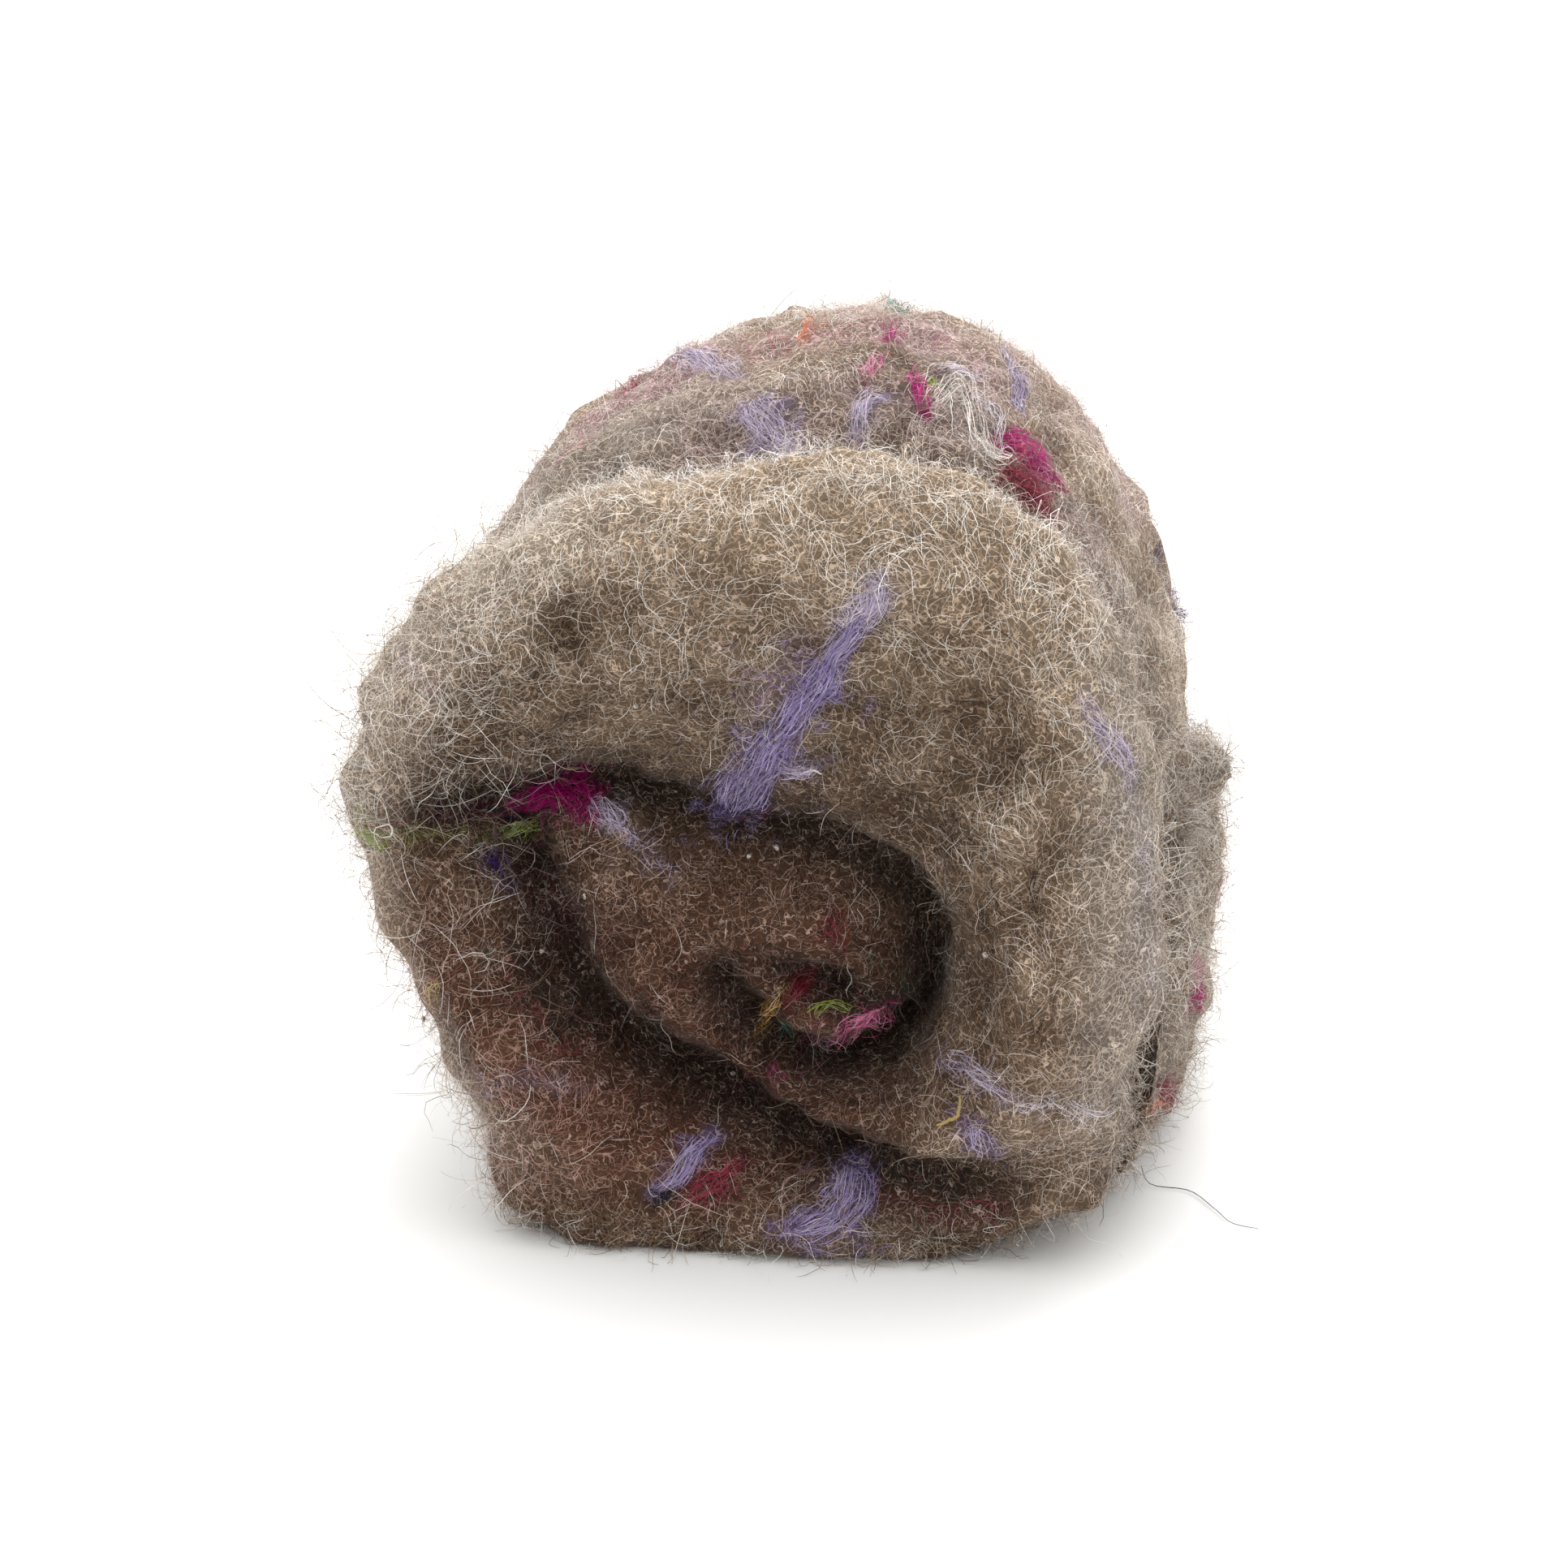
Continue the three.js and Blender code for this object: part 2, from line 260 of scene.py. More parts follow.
def valley_at(points_mm, width_mm):
    """How near each point lies to the valley, from 0 to 1."""
    x, z, _ = from_axis(points_mm)
    angle = np.arctan2(z, x)
    middle = VALLEY["y"] - VALLEY["slant"] * np.cos(angle)
    turn = np.degrees(angle)
    upper = smoothstep(turn, -10, 20) * (1 - smoothstep(turn, 150, 175))
    return upper * np.exp(-(((points_mm[:, 1] - middle) / width_mm) ** 2))


# Meshes


def select_only(piece):
    bpy.ops.object.select_all(action="DESELECT")
    piece.select_set(True)
    bpy.context.view_layer.objects.active = piece


def copy_of_node(node, name):
    """A welded copy of a node's mesh, as a new piece."""
    piece = bpy.data.objects.new(name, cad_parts[node].data.copy())
    piece.data.name = name
    piece.data.materials.clear()
    bpy.context.scene.collection.objects.link(piece)
    select_only(piece)
    bpy.ops.object.mode_set(mode="EDIT")
    bpy.ops.mesh.select_all(action="SELECT")
    bpy.ops.mesh.remove_doubles(threshold=WELD_MM * MM)
    bpy.ops.object.mode_set(mode="OBJECT")
    return piece


def apply_modifier(piece, kind, **settings):
    modifier = piece.modifiers.new(kind.lower(), kind)
    for name, value in settings.items():
        setattr(modifier, name, value)
    select_only(piece)
    bpy.ops.object.modifier_apply(modifier=modifier.name)


def soften(piece, voxel_mm):
    """An even fine mesh in place of the solid's facets."""
    apply_modifier(piece, "REMESH", mode="VOXEL", voxel_size=voxel_mm * MM)
    apply_modifier(piece, "SMOOTH", factor=0.5, iterations=SMOOTHING_STEPS)


def points_of(mesh):
    points = np.empty(len(mesh.vertices) * 3)
    mesh.vertices.foreach_get("co", points)
    return points.reshape(-1, 3)


def normals_of(mesh):
    normals = np.empty(len(mesh.vertices) * 3)
    mesh.vertex_normals.foreach_get("vector", normals)
    return normals.reshape(-1, 3)


def set_points(mesh, points):
    mesh.vertices.foreach_set("co", np.ascontiguousarray(points).ravel())
    mesh.update()


def set_colours(mesh, colours):
    """Linear colours for a mesh's points, as an attribute that its material reads."""
    layer = mesh.color_attributes.new("dye", "FLOAT_COLOR", "POINT")
    with_alpha = np.hstack([colours, np.ones((len(colours), 1))])
    layer.data.foreach_set("color", with_alpha.ravel())


# The wool's unevenness, as sums of waves of random direction and length


def new_waves(count, shortest_mm, longest_mm):
    """The ways, as turns for each mm, and the starts of some waves."""
    lengths = rng.uniform(shortest_mm, longest_mm, count)
    ways = unit(rng.normal(size=(count, 3))) * math.tau / lengths[:, None]
    return ways, rng.uniform(0, math.tau, count)


def waves_at(points_mm, waves):
    """The waves' sum at each point, mostly from -1 to 1."""
    ways, starts = waves
    return np.cos(points_mm @ ways.T + starts).sum(1) / math.sqrt(len(starts))


LUMPS = new_waves(80, 5.5, 24)
SWELLS = new_waves(30, 14, 34)
BROAD_CLUMPS = new_waves(24, 14, 45)
SMALL_CLUMPS = new_waves(40, 5, 12)
LOCKS = new_waves(20, 9, 30)
LOFT = new_waves(30, 5, 16)
RAGGED_EDGES = new_waves(40, 1.6, 6)
KNOBS = new_waves(6, 0.5, 1.2)


def outward_at(points_mm):
    """The way straight out from the roll's axis."""
    return unit((points_mm - AXIS_MM) * [1, 0, 1])


def inward_at(points_mm):
    """The way a crease draws the wool in: along the roll on its ends, else towards its axis."""
    x, z, reach = from_axis(points_mm)
    side = smoothstep(reach, *RIM_MM)[:, None]
    along = np.where(points_mm[:, 1] < 20, 1.0, -1.0)
    none = np.zeros(len(points_mm))
    end_way = np.stack([none, along, none], axis=1)
    side_way = -np.stack([x, none, z], axis=1) / (reach[:, None] + 1e-6)
    return unit(end_way * (1 - side) + side_way * side)


def swell_at(points_mm, normals):
    """How much the loose end puffs out, in mm, on its outer face."""
    out = outward_at(points_mm)
    faces_out = smoothstep((normals * out).sum(1), -0.1, 0.6)
    high = smoothstep(points_mm[:, 2], 12, 36)
    return SWELL_MM * high * faces_out * (0.6 + 0.6 * waves_at(points_mm, SWELLS)).clip(0.1, 1.2)


def corner_lift_at(points_mm):
    """How much the foot rounds up at the near right corner, in mm."""
    x, y, z = points_mm.T
    corner = smoothstep(x, 30, 62) * (1 - smoothstep(y, -58, -28))
    return CORNER_LIFT_MM * corner * (1 - z / 26).clip(0, 1)


def shape_wool(piece, swells):
    """Draws in the clefts, raises the lumps and leaves room for the fibres."""
    points = millimetres(points_of(piece.data))
    normals = normals_of(piece.data)
    near_end = 1 - smoothstep(points[:, 1], -26, -6)
    points[:, 2] -= core_drop_at(points[:, 0], points[:, 2]) * near_end
    clefts, _ = crease_at(points)
    clefts += VALLEY["cleft"] * valley_at(points, 4.5)
    rests = smoothstep(points[:, 2], 0.2, 6)
    lumps = LUMP_MM * waves_at(points, LUMPS)
    moves = inward_at(points) * (clefts * rests)[:, None]
    moves += normals * ((lumps - FIBRE_ROOM_MM) * rests)[:, None]
    moves += normals * [1, 1, 0] * (2 * lumps * (1 - rests))[:, None]
    lifts = FOOT_LIFT_MM * (0.4 + 0.7 * waves_at(points, SWELLS)).clip(0, 1.2)
    moves[:, 2] += lifts * (1 - rests) * np.hypot(normals[:, 0], normals[:, 1])
    if swells:
        moves += outward_at(points) * swell_at(points, normals)[:, None]
    moves[:, 2] += 0 if swells else corner_lift_at(points)
    points += moves
    points[:, 2] = np.maximum(points[:, 2], 0)
    set_points(piece.data, metres(points))


# Tufts of dyed silk and wool


def tuft(colour, cover, *places):
    """A tuft laid along pixels of the photograph, each (across, down, half of its breadth there).
    `cover` is how much of the wool it hides."""
    return {"colour": colour, "cover": cover, "places": np.array(places, float)}


TUFTS = [
    tuft(PALE_LAVENDER, 0.8, (1084, 714, 8), (1074, 746, 17), (1046, 772, 19)),
    tuft(
        LAVENDER,
        1.0,
        (1060, 760, 10),
        (1032, 804, 13),
        (1010, 840, 22),
        (986, 872, 17),
        (966, 904, 17),
    ),
    tuft(LAVENDER, 1.0, (966, 904, 17), (938, 940, 24), (910, 972, 30), (898, 992, 20)),
    tuft(PALE_LAVENDER, 0.6, (950, 936, 14), (985, 944, 13), (1012, 940, 8)),
    tuft(LAVENDER, 0.24, (985, 800, 24), (950, 860, 34), (925, 930, 26)),
    # Painted shadow of the big lavender lock, tinted pink as it shows below the lock.
    tuft(PINK, 0.2, (905, 1006, 8), (930, 1008, 10), (948, 998, 6)),
    tuft(PALE_LAVENDER, 0.7, (728, 988, 7), (746, 1002, 13), (768, 1020, 9)),
    tuft(PALE_LAVENDER, 0.2, (768, 1020, 14), (800, 1050, 16), (830, 1080, 10)),
    tuft(PALE_LAVENDER, 0.36, (1335, 878, 12), (1368, 912, 18), (1396, 960, 12)),
    # A pale silver haze down the near bulge's right rim: partly pale fibres, partly painted light
    # where light shines through the fuzz.
    tuft(SILVER, 0.26, (1390, 960, 18), (1415, 1080, 22), (1418, 1200, 20), (1400, 1310, 14)),
    tuft(PALE_LAVENDER, 0.32, (1161, 1303, 9), (1205, 1325, 14), (1255, 1358, 9)),
    tuft(SILVER, 0.3, (1255, 1362, 8), (1330, 1368, 9), (1392, 1340, 7)),
    tuft(LAVENDER, 0.45, (1190, 1388, 10), (1206, 1404, 16), (1220, 1420, 10)),
    tuft(LAVENDER, 0.75, (880, 1396, 9), (858, 1418, 11), (836, 1446, 9), (806, 1466, 7)),
    tuft(LAVENDER, 0.75, (1048, 1440, 18), (1044, 1476, 26), (1020, 1505, 26), (975, 1516, 16)),
    tuft(PALE_LAVENDER, 0.16, (590, 1335, 14), (650, 1328, 18), (710, 1342, 10)),
    tuft(PALE_LAVENDER, 0.2, (495, 812, 12), (530, 850, 14)),
    tuft(PALE_LAVENDER, 0.6, (833, 436, 8), (870, 446, 15), (906, 466, 10)),
    tuft(PALE_LAVENDER, 0.75, (922, 500, 14), (950, 535, 24), (986, 558, 14)),
    tuft(PALE_LAVENDER, 0.7, (1095, 492, 7), (1064, 502, 10), (1056, 540, 12)),
    tuft(SILVER, 0.36, (1190, 488, 6), (1224, 504, 8), (1232, 556, 5)),
    tuft(PALE_LAVENDER, 0.5, (1150, 460, 7), (1204, 467, 6)),
    tuft(LAVENDER, 0.6, (1240, 432, 6), (1254, 470, 9), (1260, 508, 7)),
    tuft(MAGENTA, 0.9, (632, 994, 8), (668, 982, 17), (700, 976, 26), (722, 994, 18)),
    tuft(WINE, 0.4, (528, 1002, 9), (576, 1004, 12), (640, 998, 14)),
    tuft(GREEN, 0.25, (478, 1030, 9), (540, 1028, 10), (600, 1026, 8)),
    tuft(GREEN, 0.65, (618, 1026, 5), (640, 1021, 8), (666, 1014, 5)),
    tuft(GREEN, 0.8, (446, 1008, 7), (458, 1026, 10), (474, 1040, 8)),
    tuft(PURPLE, 0.3, (596, 1050, 14), (624, 1085, 20)),
    tuft(WINE, 0.27, (650, 1090, 26), (690, 1125, 32), (735, 1165, 22)),
    # Painted shade: a dark brown patch where the lower turn's crease ends on the left.
    tuft(DARK_BROWN, 0.5, (636, 1140, 22), (662, 1205, 28), (700, 1270, 20)),
    tuft(TEAL, 0.12, (600, 1168, 18), (640, 1196, 14)),
    tuft(CRIMSON, 0.24, (636, 1180, 24), (660, 1225, 30), (700, 1290, 22)),
    tuft(TAN, 0.5, (536, 1206, 4), (538, 1232, 4)),
    tuft(MAGENTA, 0.75, (1232, 545, 14), (1262, 562, 30), (1296, 588, 16)),
    tuft(CRIMSON, 0.8, (1240, 580, 16), (1270, 598, 24), (1302, 640, 10)),
    tuft(ORANGE, 0.8, (1251, 550, 4), (1258, 562, 4)),
    tuft(MAGENTA, 0.85, (1095, 414, 6), (1101, 424, 6)),
    tuft(PINK, 0.4, (1093, 430, 6), (1078, 450, 9), (1068, 467, 7)),
    tuft(MAGENTA, 0.8, (1122, 458, 4), (1132, 480, 6), (1142, 513, 5)),
    tuft(GREEN, 0.7, (1144, 466, 3), (1152, 486, 4)),
    tuft(TEAL, 0.8, (1090, 380, 6), (1113, 388, 8)),
    tuft(ORANGE, 0.7, (988, 425, 4), (1000, 410, 4), (1012, 400, 4)),
    tuft(CRIMSON, 0.6, (768, 496, 5), (780, 480, 6), (792, 468, 4)),
    tuft(PINK, 0.22, (694, 566, 22), (724, 540, 22)),
    tuft(PINK, 0.13, (720, 520, 30), (900, 440, 50), (1120, 430, 60)),
    # Painted shade: a dark brown haze over the hollow of the core, under the top lobe.
    tuft(DARK_BROWN, 0.27, (950, 1190, 30), (1030, 1215, 44), (1096, 1190, 24)),
    tuft(PINK, 0.5, (997, 1278, 9), (1045, 1268, 15), (1094, 1240, 12)),
    tuft(TEAL, 0.5, (968, 1262, 4), (980, 1280, 4)),
    tuft(TEAL, 0.5, (1006, 1289, 4), (1030, 1289, 4)),
    tuft(TEAL, 0.18, (1066, 1176, 8), (1098, 1190, 12), (1114, 1222, 10)),
    tuft(OCHRE, 0.6, (940, 1262, 5), (950, 1242, 6), (962, 1222, 4)),
    tuft(DEEP_RED, 0.6, (970, 1240, 10), (985, 1212, 15), (1002, 1190, 10)),
    tuft(GREEN, 0.5, (998, 1250, 3), (1022, 1241, 4), (1050, 1245, 3)),
    tuft(DEEP_RED, 0.4, (1020, 1125, 7), (1028, 1145, 10), (1036, 1164, 6)),
    tuft(CRIMSON, 0.4, (845, 1480, 14), (880, 1458, 20), (915, 1432, 12)),
    tuft(NAVY, 0.75, (806, 1478, 7), (826, 1470, 6)),
    tuft(CRIMSON, 0.24, (1080, 1478, 16), (1160, 1496, 20), (1250, 1488, 14)),
    tuft(PINK, 0.2, (920, 1322, 12), (960, 1326, 12)),
    tuft(MAGENTA, 0.8, (1474, 1206, 9), (1468, 1236, 11)),
    tuft(PINK, 0.35, (1466, 1184, 10), (1478, 1194, 12)),
    tuft(CRIMSON, 0.7, (1404, 1328, 14), (1428, 1340, 20), (1442, 1354, 10)),
    tuft(ORANGE, 0.6, (1416, 1364, 8), (1430, 1352, 9)),
]


def side_tuft(colour, cover, deg, y, slant_deg, length, half_width):
    """A tuft where the photograph shows nothing, from a place round the axis and along it."""
    run = {"slant": math.radians(slant_deg), "length": length, "half_width": half_width}
    return {"colour": colour, "cover": cover, "deg": deg, "y": y, **run}


SIDE_TUFTS = [
    side_tuft(LAVENDER, 0.85, 60, 70, 20, 24, 2.6),
    side_tuft(CRIMSON, 0.5, 118, 60, -35, 15, 3.0),
    side_tuft(PALE_LAVENDER, 0.45, 150, 30, 60, 20, 2.4),
    side_tuft(MAGENTA, 0.8, 172, -8, 10, 7, 1.6),
    side_tuft(LAVENDER, 0.8, 192, 44, -15, 22, 2.6),
    side_tuft(TEAL, 0.7, 200, 10, 30, 6, 1.2),
    side_tuft(OCHRE, 0.7, 165, 74, 70, 7, 1.1),
    side_tuft(GREEN, 0.8, 88, 82, 15, 7, 1.0),
    side_tuft(PURPLE, 0.5, 16, 52, -20, 11, 1.8),
    side_tuft(PINK, 0.5, 15, 78, 40, 10, 2.0),
    side_tuft(PALE_LAVENDER, 0.4, -14, 70, 5, 18, 2.4),
    side_tuft(CRIMSON, 0.6, -22, 30, -20, 9, 2.0),
]


def end_tuft(colour, cover, start, end, half_width):
    """A tuft on the far end, between two places across and up."""
    return {"colour": colour, "cover": cover, "start": start, "end": end, "half_width": half_width}


END_TUFTS = [
    end_tuft(LAVENDER, 0.9, (-20, 92), (14, 104), 2.6),
    end_tuft(MAGENTA, 0.8, (-38, 66), (-24, 62), 2.2),
    end_tuft(CRIMSON, 0.55, (36, 60), (42, 44), 2.8),
    end_tuft(PALE_LAVENDER, 0.5, (-30, 34), (-6, 20), 2.2),
    end_tuft(OCHRE, 0.8, (10, 44), (18, 40), 1.3),
    end_tuft(TEAL, 0.7, (24, 52), (27, 46), 1.2),
]


FAINT_LOCKS = 34
SIDE_RADIUS_MM = 68
CLEAR_OF_SIDE_MM = 90
CLEAR_OF_END_MM = 200
TUFT_SHARES = np.linspace(0, 1, 4)
TUFT_TAPER = np.array([0.5, 1.0, 0.9, 0.5])


def seen_at(tree, photo_px):
    """Where the ray through a pixel meets the wool, and how many metres away, or None."""
    eye, way = ray_through(photo_px)
    hit, _, _, distance = tree.ray_cast(Vector(metres(eye)), Vector(way))
    return None if hit is None else (np.array(hit), distance)


def on_side(tree, deg, y):
    """The roll's surface at an angle round its axis."""
    angle = math.radians(deg)
    out = np.array([math.cos(angle), 0, math.sin(angle)])
    place = AXIS_MM + [0, y, 0] + CLEAR_OF_SIDE_MM * out
    hit, _, _, _ = tree.find_nearest(Vector(metres(place)))
    return np.array(hit)


def on_far_end(tree, x, z):
    start = Vector(metres([x, CLEAR_OF_END_MM, z]))
    hit, _, _, _ = tree.ray_cast(start, Vector((0, -1, 0)))
    return np.array(hit)


def seen_path(tree, row):
    """Places on the wool and half widths, in metres, for the tuft's pixels that meet the wool."""
    path, halves = [], []
    for across, down, half_px in row["places"]:
        seen = seen_at(tree, (across, down))
        if seen:
            path.append(seen[0])
            halves.append(half_px * SENSOR_MM / LENS_MM / PHOTO_SIDE_PX * seen[1])
    return np.array(path), np.array(halves)


def side_path(tree, row):
    along, up = math.sin(row["slant"]), math.cos(row["slant"])
    turns = np.degrees(TUFT_SHARES * row["length"] * up / SIDE_RADIUS_MM)
    runs = TUFT_SHARES * row["length"] * along
    path = [on_side(tree, row["deg"] + turn, row["y"] + run) for turn, run in zip(turns, runs)]
    return np.array(path), TUFT_TAPER * row["half_width"] * MM


def end_path(tree, row):
    start, end = np.array(row["start"], float), np.array(row["end"], float)
    path = [on_far_end(tree, *(start + (end - start) * share)) for share in TUFT_SHARES]
    return np.array(path), TUFT_TAPER * row["half_width"] * MM


def faint_locks(count):
    """Locks of paler and darker wool, strewn over the roll's side."""
    rows = []
    for _ in range(count):
        colour = (PALE, CREAM, BROWN)[rng.integers(3)]
        deg, y, slant = rng.uniform(-35, 215), rng.uniform(-75, 78), rng.normal(0, 35)
        length, half_width = rng.uniform(10, 24), rng.uniform(1.5, 3.5)
        cover = rng.uniform(0.15, 0.32)
        rows.append(side_tuft(colour, cover, deg, y, slant, length, half_width))
    return rows


def laid_tufts(tree):
    """Each tuft's colour, cover, path on the wool, half widths and facing."""
    tufts = []
    sides = SIDE_TUFTS + faint_locks(FAINT_LOCKS)
    for rows, path_of in ((TUFTS, seen_path), (sides, side_path), (END_TUFTS, end_path)):
        for row in rows:
            path, halves = path_of(tree, row)
            _, facing, _, _ = tree.find_nearest(Vector(path[len(path) // 2]))
            dye = {"colour": linear(row["colour"]), "cover": row["cover"]}
            tufts.append({**dye, "path": path, "halves": halves, "facing": np.array(facing)})
    return tufts


def away_from(points, path, halves):
    """Each point's distance from a path of straight runs, as a share of the half width there."""
    least = np.full(len(points), np.inf)
    for k in range(len(path) - 1):
        run = path[k + 1] - path[k]
        share = np.clip((points - path[k]) @ run / (run @ run + 1e-12), 0, 1)
        half = halves[k] + (halves[k + 1] - halves[k]) * share
        away = np.linalg.norm(points - path[k] - share[:, None] * run, axis=1)
        least = np.minimum(least, away / half)
    return least


def near_path(points, path, halves):
    """Which points lie in a box round a path."""
    reach = 2.2 * halves.max()
    return np.all((points > path.min(0) - reach) & (points < path.max(0) + reach), axis=1)


def tuft_weights(points, tufts):
    """Which tuft colours each point most, and how strongly."""
    best = np.zeros(len(points))
    which = np.zeros(len(points), int)
    for k, row in enumerate(tufts):
        close = np.flatnonzero(near_path(points, row["path"], row["halves"]))
        away = away_from(points[close], row["path"], row["halves"])
        ragged = 1 + 0.45 * waves_at(millimetres(points[close]), RAGGED_EDGES)
        weight = row["cover"] * np.exp(-((away / 1.1 * ragged.clip(0.35, 2)) ** 3))
        stronger = weight > best[close]
        which[close[stronger]] = k
        best[close[stronger]] = weight[stronger]
    return best, which


# Colours of the wool


PAINTED_GLOW_SHARE = 0.45  # how much of the painted glow's pale colour shows


def left_rim_at(points_mm):
    """The near end's left rim, from 0 to 1, down to a little above the floor."""
    x, _, z = points_mm.T
    _, _, reach = from_axis(points_mm)
    return smoothstep(reach, *RIM_MM) * smoothstep(-x, 5, 32) * smoothstep(z, 8, 26)


def painted_light_and_paleness_at(points_mm, normals):
    """Painted light and shade, from about -1 to 1, over paler and darker clumps of wool: lighter on
    top, behind and at the rims, and darker low down in the middle of the near end."""
    x, y, z = points_mm.T
    behind = smoothstep(y, -34, -8)
    left_rim = left_rim_at(points_mm)
    # Painted light: the near end lighter towards its top and right side and at its left rim, where
    # light shines through the fuzz, and the part behind lighter towards its top and right edge.
    # Painted shade: darker low down in the middle of the near end.
    near = 1.7 * smoothstep(z, 86, 130) - 0.4 + 0.7 * smoothstep(x, 36, 58) + 2.1 * left_rim
    inner = (1 - smoothstep(z, 74, 90)) * (1 - smoothstep(x, 18, 42)) * (1 - left_rim)
    near -= 0.45 * inner * smoothstep(z, 4, 18)
    far = 0.15 + 0.5 * smoothstep(z, 40, 130) + 0.9 * smoothstep(x, 60, 70)
    clumps = 0.25 * waves_at(points_mm, BROAD_CLUMPS) + 0.35 * waves_at(points_mm, SMALL_CLUMPS)
    clumps += 0.4 * waves_at(points_mm, LUMPS)
    # Faces that look up get a little painted light; the clumps are paler and darker wool.
    return near * (1 - behind) + far * behind + 0.2 * normals[:, 2] + clumps


def shade_at(points_mm):
    """How much painted shade each point gets, from 0 to 1: in the creases, in the valley behind the
    near bulge, and in a band just behind the near end's rim.
    """
    _, crease = crease_at(points_mm)
    behind = smoothstep(points_mm[:, 1], -40, -26) * (1 - smoothstep(points_mm[:, 1], -22, 24))
    return np.maximum(crease, np.maximum(0.85 * valley_at(points_mm, 8), 0.4 * behind))


def redness_at(points_mm):
    """Where the wool is redder: low down at the near end, but for its right side."""
    x, y, z = points_mm.T
    across = (1 - 0.8 * smoothstep(x, 12, 40)) * (1 - 0.6 * left_rim_at(points_mm))
    up = (1 - smoothstep(z, 30, 95)) * smoothstep(z, -5, 18)
    return across * up * (1 - 0.8 * smoothstep(y, -50, -20))


def pinkness_at(points_mm):
    """Where a haze of pink dye tints the wool: on top of the rear wrap."""
    _, y, z = points_mm.T
    haze = 0.3 + 0.25 * waves_at(points_mm, BROAD_CLUMPS)
    return haze.clip(0, 0.6) * smoothstep(y, -34, -12) * smoothstep(z, 70, 115)


def painted_glow_at(points_mm):
    """Where painted light stands for the light that comes through the loose fibres: at the left rim
    and on the right side.
    """
    x, y, z = points_mm.T
    right = smoothstep(x, 52, 62) * smoothstep(z, 8, 26)
    return np.maximum(left_rim_at(points_mm), right) * (1 - smoothstep(y, -10, 30))


def mixed(colours, others, share):
    return colours * (1 - share[:, None]) + others * share[:, None]


def body_colours(points, normals, tufts):
    """The matted wool's colours under the loose fibres, with painted light and shade mixed in."""
    points_mm = millimetres(points)
    # Painted light: paler and brighter where the light falls, darker where it does not.
    pale = np.clip(0.5 + 0.5 * painted_light_and_paleness_at(points_mm, normals), 0, 1)
    base = mixed(linear(BROWN), linear(TAUPE), pale)
    base = base * (0.7 + 0.6 * pale)[:, None]
    base = mixed(base, linear(RUSSET), 0.65 * redness_at(points_mm))
    base = mixed(base, linear(DUSTY_PINK), pinkness_at(points_mm))
    base = mixed(base, linear(PALE), PAINTED_GLOW_SHARE * painted_glow_at(points_mm))
    # Painted shade: dark brown in the creases, the valley and behind the near rim.
    base = mixed(base, linear(DARK_BROWN), 0.93 * shade_at(points_mm))
    weight, which = tuft_weights(points, tufts)
    dyed = np.array([row["colour"] for row in tufts])[which]
    return mixed(base, dyed * 0.85, weight)


# Kinds of wool fibre: the colour, its share of the list's fibres, how far they lie off the matted
# wool at the least and the most, the length of one straight run, the tightest radius that they
# bend to, and the width, all in millimetres. The darker kinds lie lower, partly as painted shade in
# the depth of the wool.
MATTED_FIBRES = [
    (DARK_BROWN, 0.12, 0.1, 0.9, 1.2, 1.2, 0.11),
    (BROWN, 0.22, 0.2, 1.4, 1.15, 1.1, 0.1),
    (TAUPE, 0.28, 0.4, 1.7, 1.1, 1.0, 0.09),
    (PALE, 0.25, 0.5, 2.0, 1.05, 1.0, 0.08),
    (CREAM, 0.13, 0.7, 2.3, 1.1, 1.0, 0.07),
]
LOFTY_FIBRES = [
    (BROWN, 0.15, 0.8, 3.0, 1.3, 1.3, 0.085),
    (TAUPE, 0.35, 1.0, 3.6, 1.25, 1.2, 0.08),
    (PALE, 0.33, 1.2, 4.2, 1.25, 1.2, 0.075),
    (CREAM, 0.17, 1.0, 4.4, 1.3, 1.2, 0.07),
]
MATTED = {"name": "matted_fibres", "kinds": MATTED_FIBRES, "runs": 5, "count": 40_500}
LOFTY = {"name": "lofty_fibres", "kinds": LOFTY_FIBRES, "runs": 9, "count": 8_500}
END_SHARE = 0.1  # the loose end's share of the fibres
PIECE_TRIANGLES = 190_000  # the most in one piece of fibres
FLOOR_CLEAR_MM = 0.1
HIGHEST_MM = 4.5
DIP_MM = 0.15  # how deep the ends of lying fibres are in the wool
ROOT_MM = 0.5  # how deep the roots of standing fibres are in it


def corners_of(mesh):
    mesh.calc_loop_triangles()
    corners = np.empty(len(mesh.loop_triangles) * 3, np.int32)
    mesh.loop_triangles.foreach_get("vertices", corners)
    return corners.reshape(-1, 3)


def everywhere(points_mm, normals):
    """How thickly each place is covered with fibres, as a share of the thickest."""
    near_end = smoothstep(-normals[:, 1], 0.1, 0.6)
    top = smoothstep(normals[:, 2], -0.2, 0.5)
    near_side = 0.85 * (1 - smoothstep(points_mm[:, 1], -45, -10))
    thick = np.maximum(np.maximum(0.5, near_side), np.maximum(near_end, 0.75 * top))
    return thick * off_the_floor(points_mm, normals)


def off_the_floor(points_mm, normals):
    """All but the flat spot that the roll lies on."""
    return (normals[:, 2] > -0.7) | (points_mm[:, 2] > 1)


def round_the_foot(points_mm, normals):
    return (1 - smoothstep(points_mm[:, 2], 2, 12)) * off_the_floor(points_mm, normals)


def left_shoulder(points_mm, _):
    """The turn's upper left, where the wool stands off most, and less so down the left side."""
    x, y, z = points_mm.T
    high = 0.6 + 0.4 * smoothstep(z, 66, 84)
    return smoothstep(-x, 22, 46) * high * smoothstep(z, 4, 16) * (1 - smoothstep(y, -20, 10))


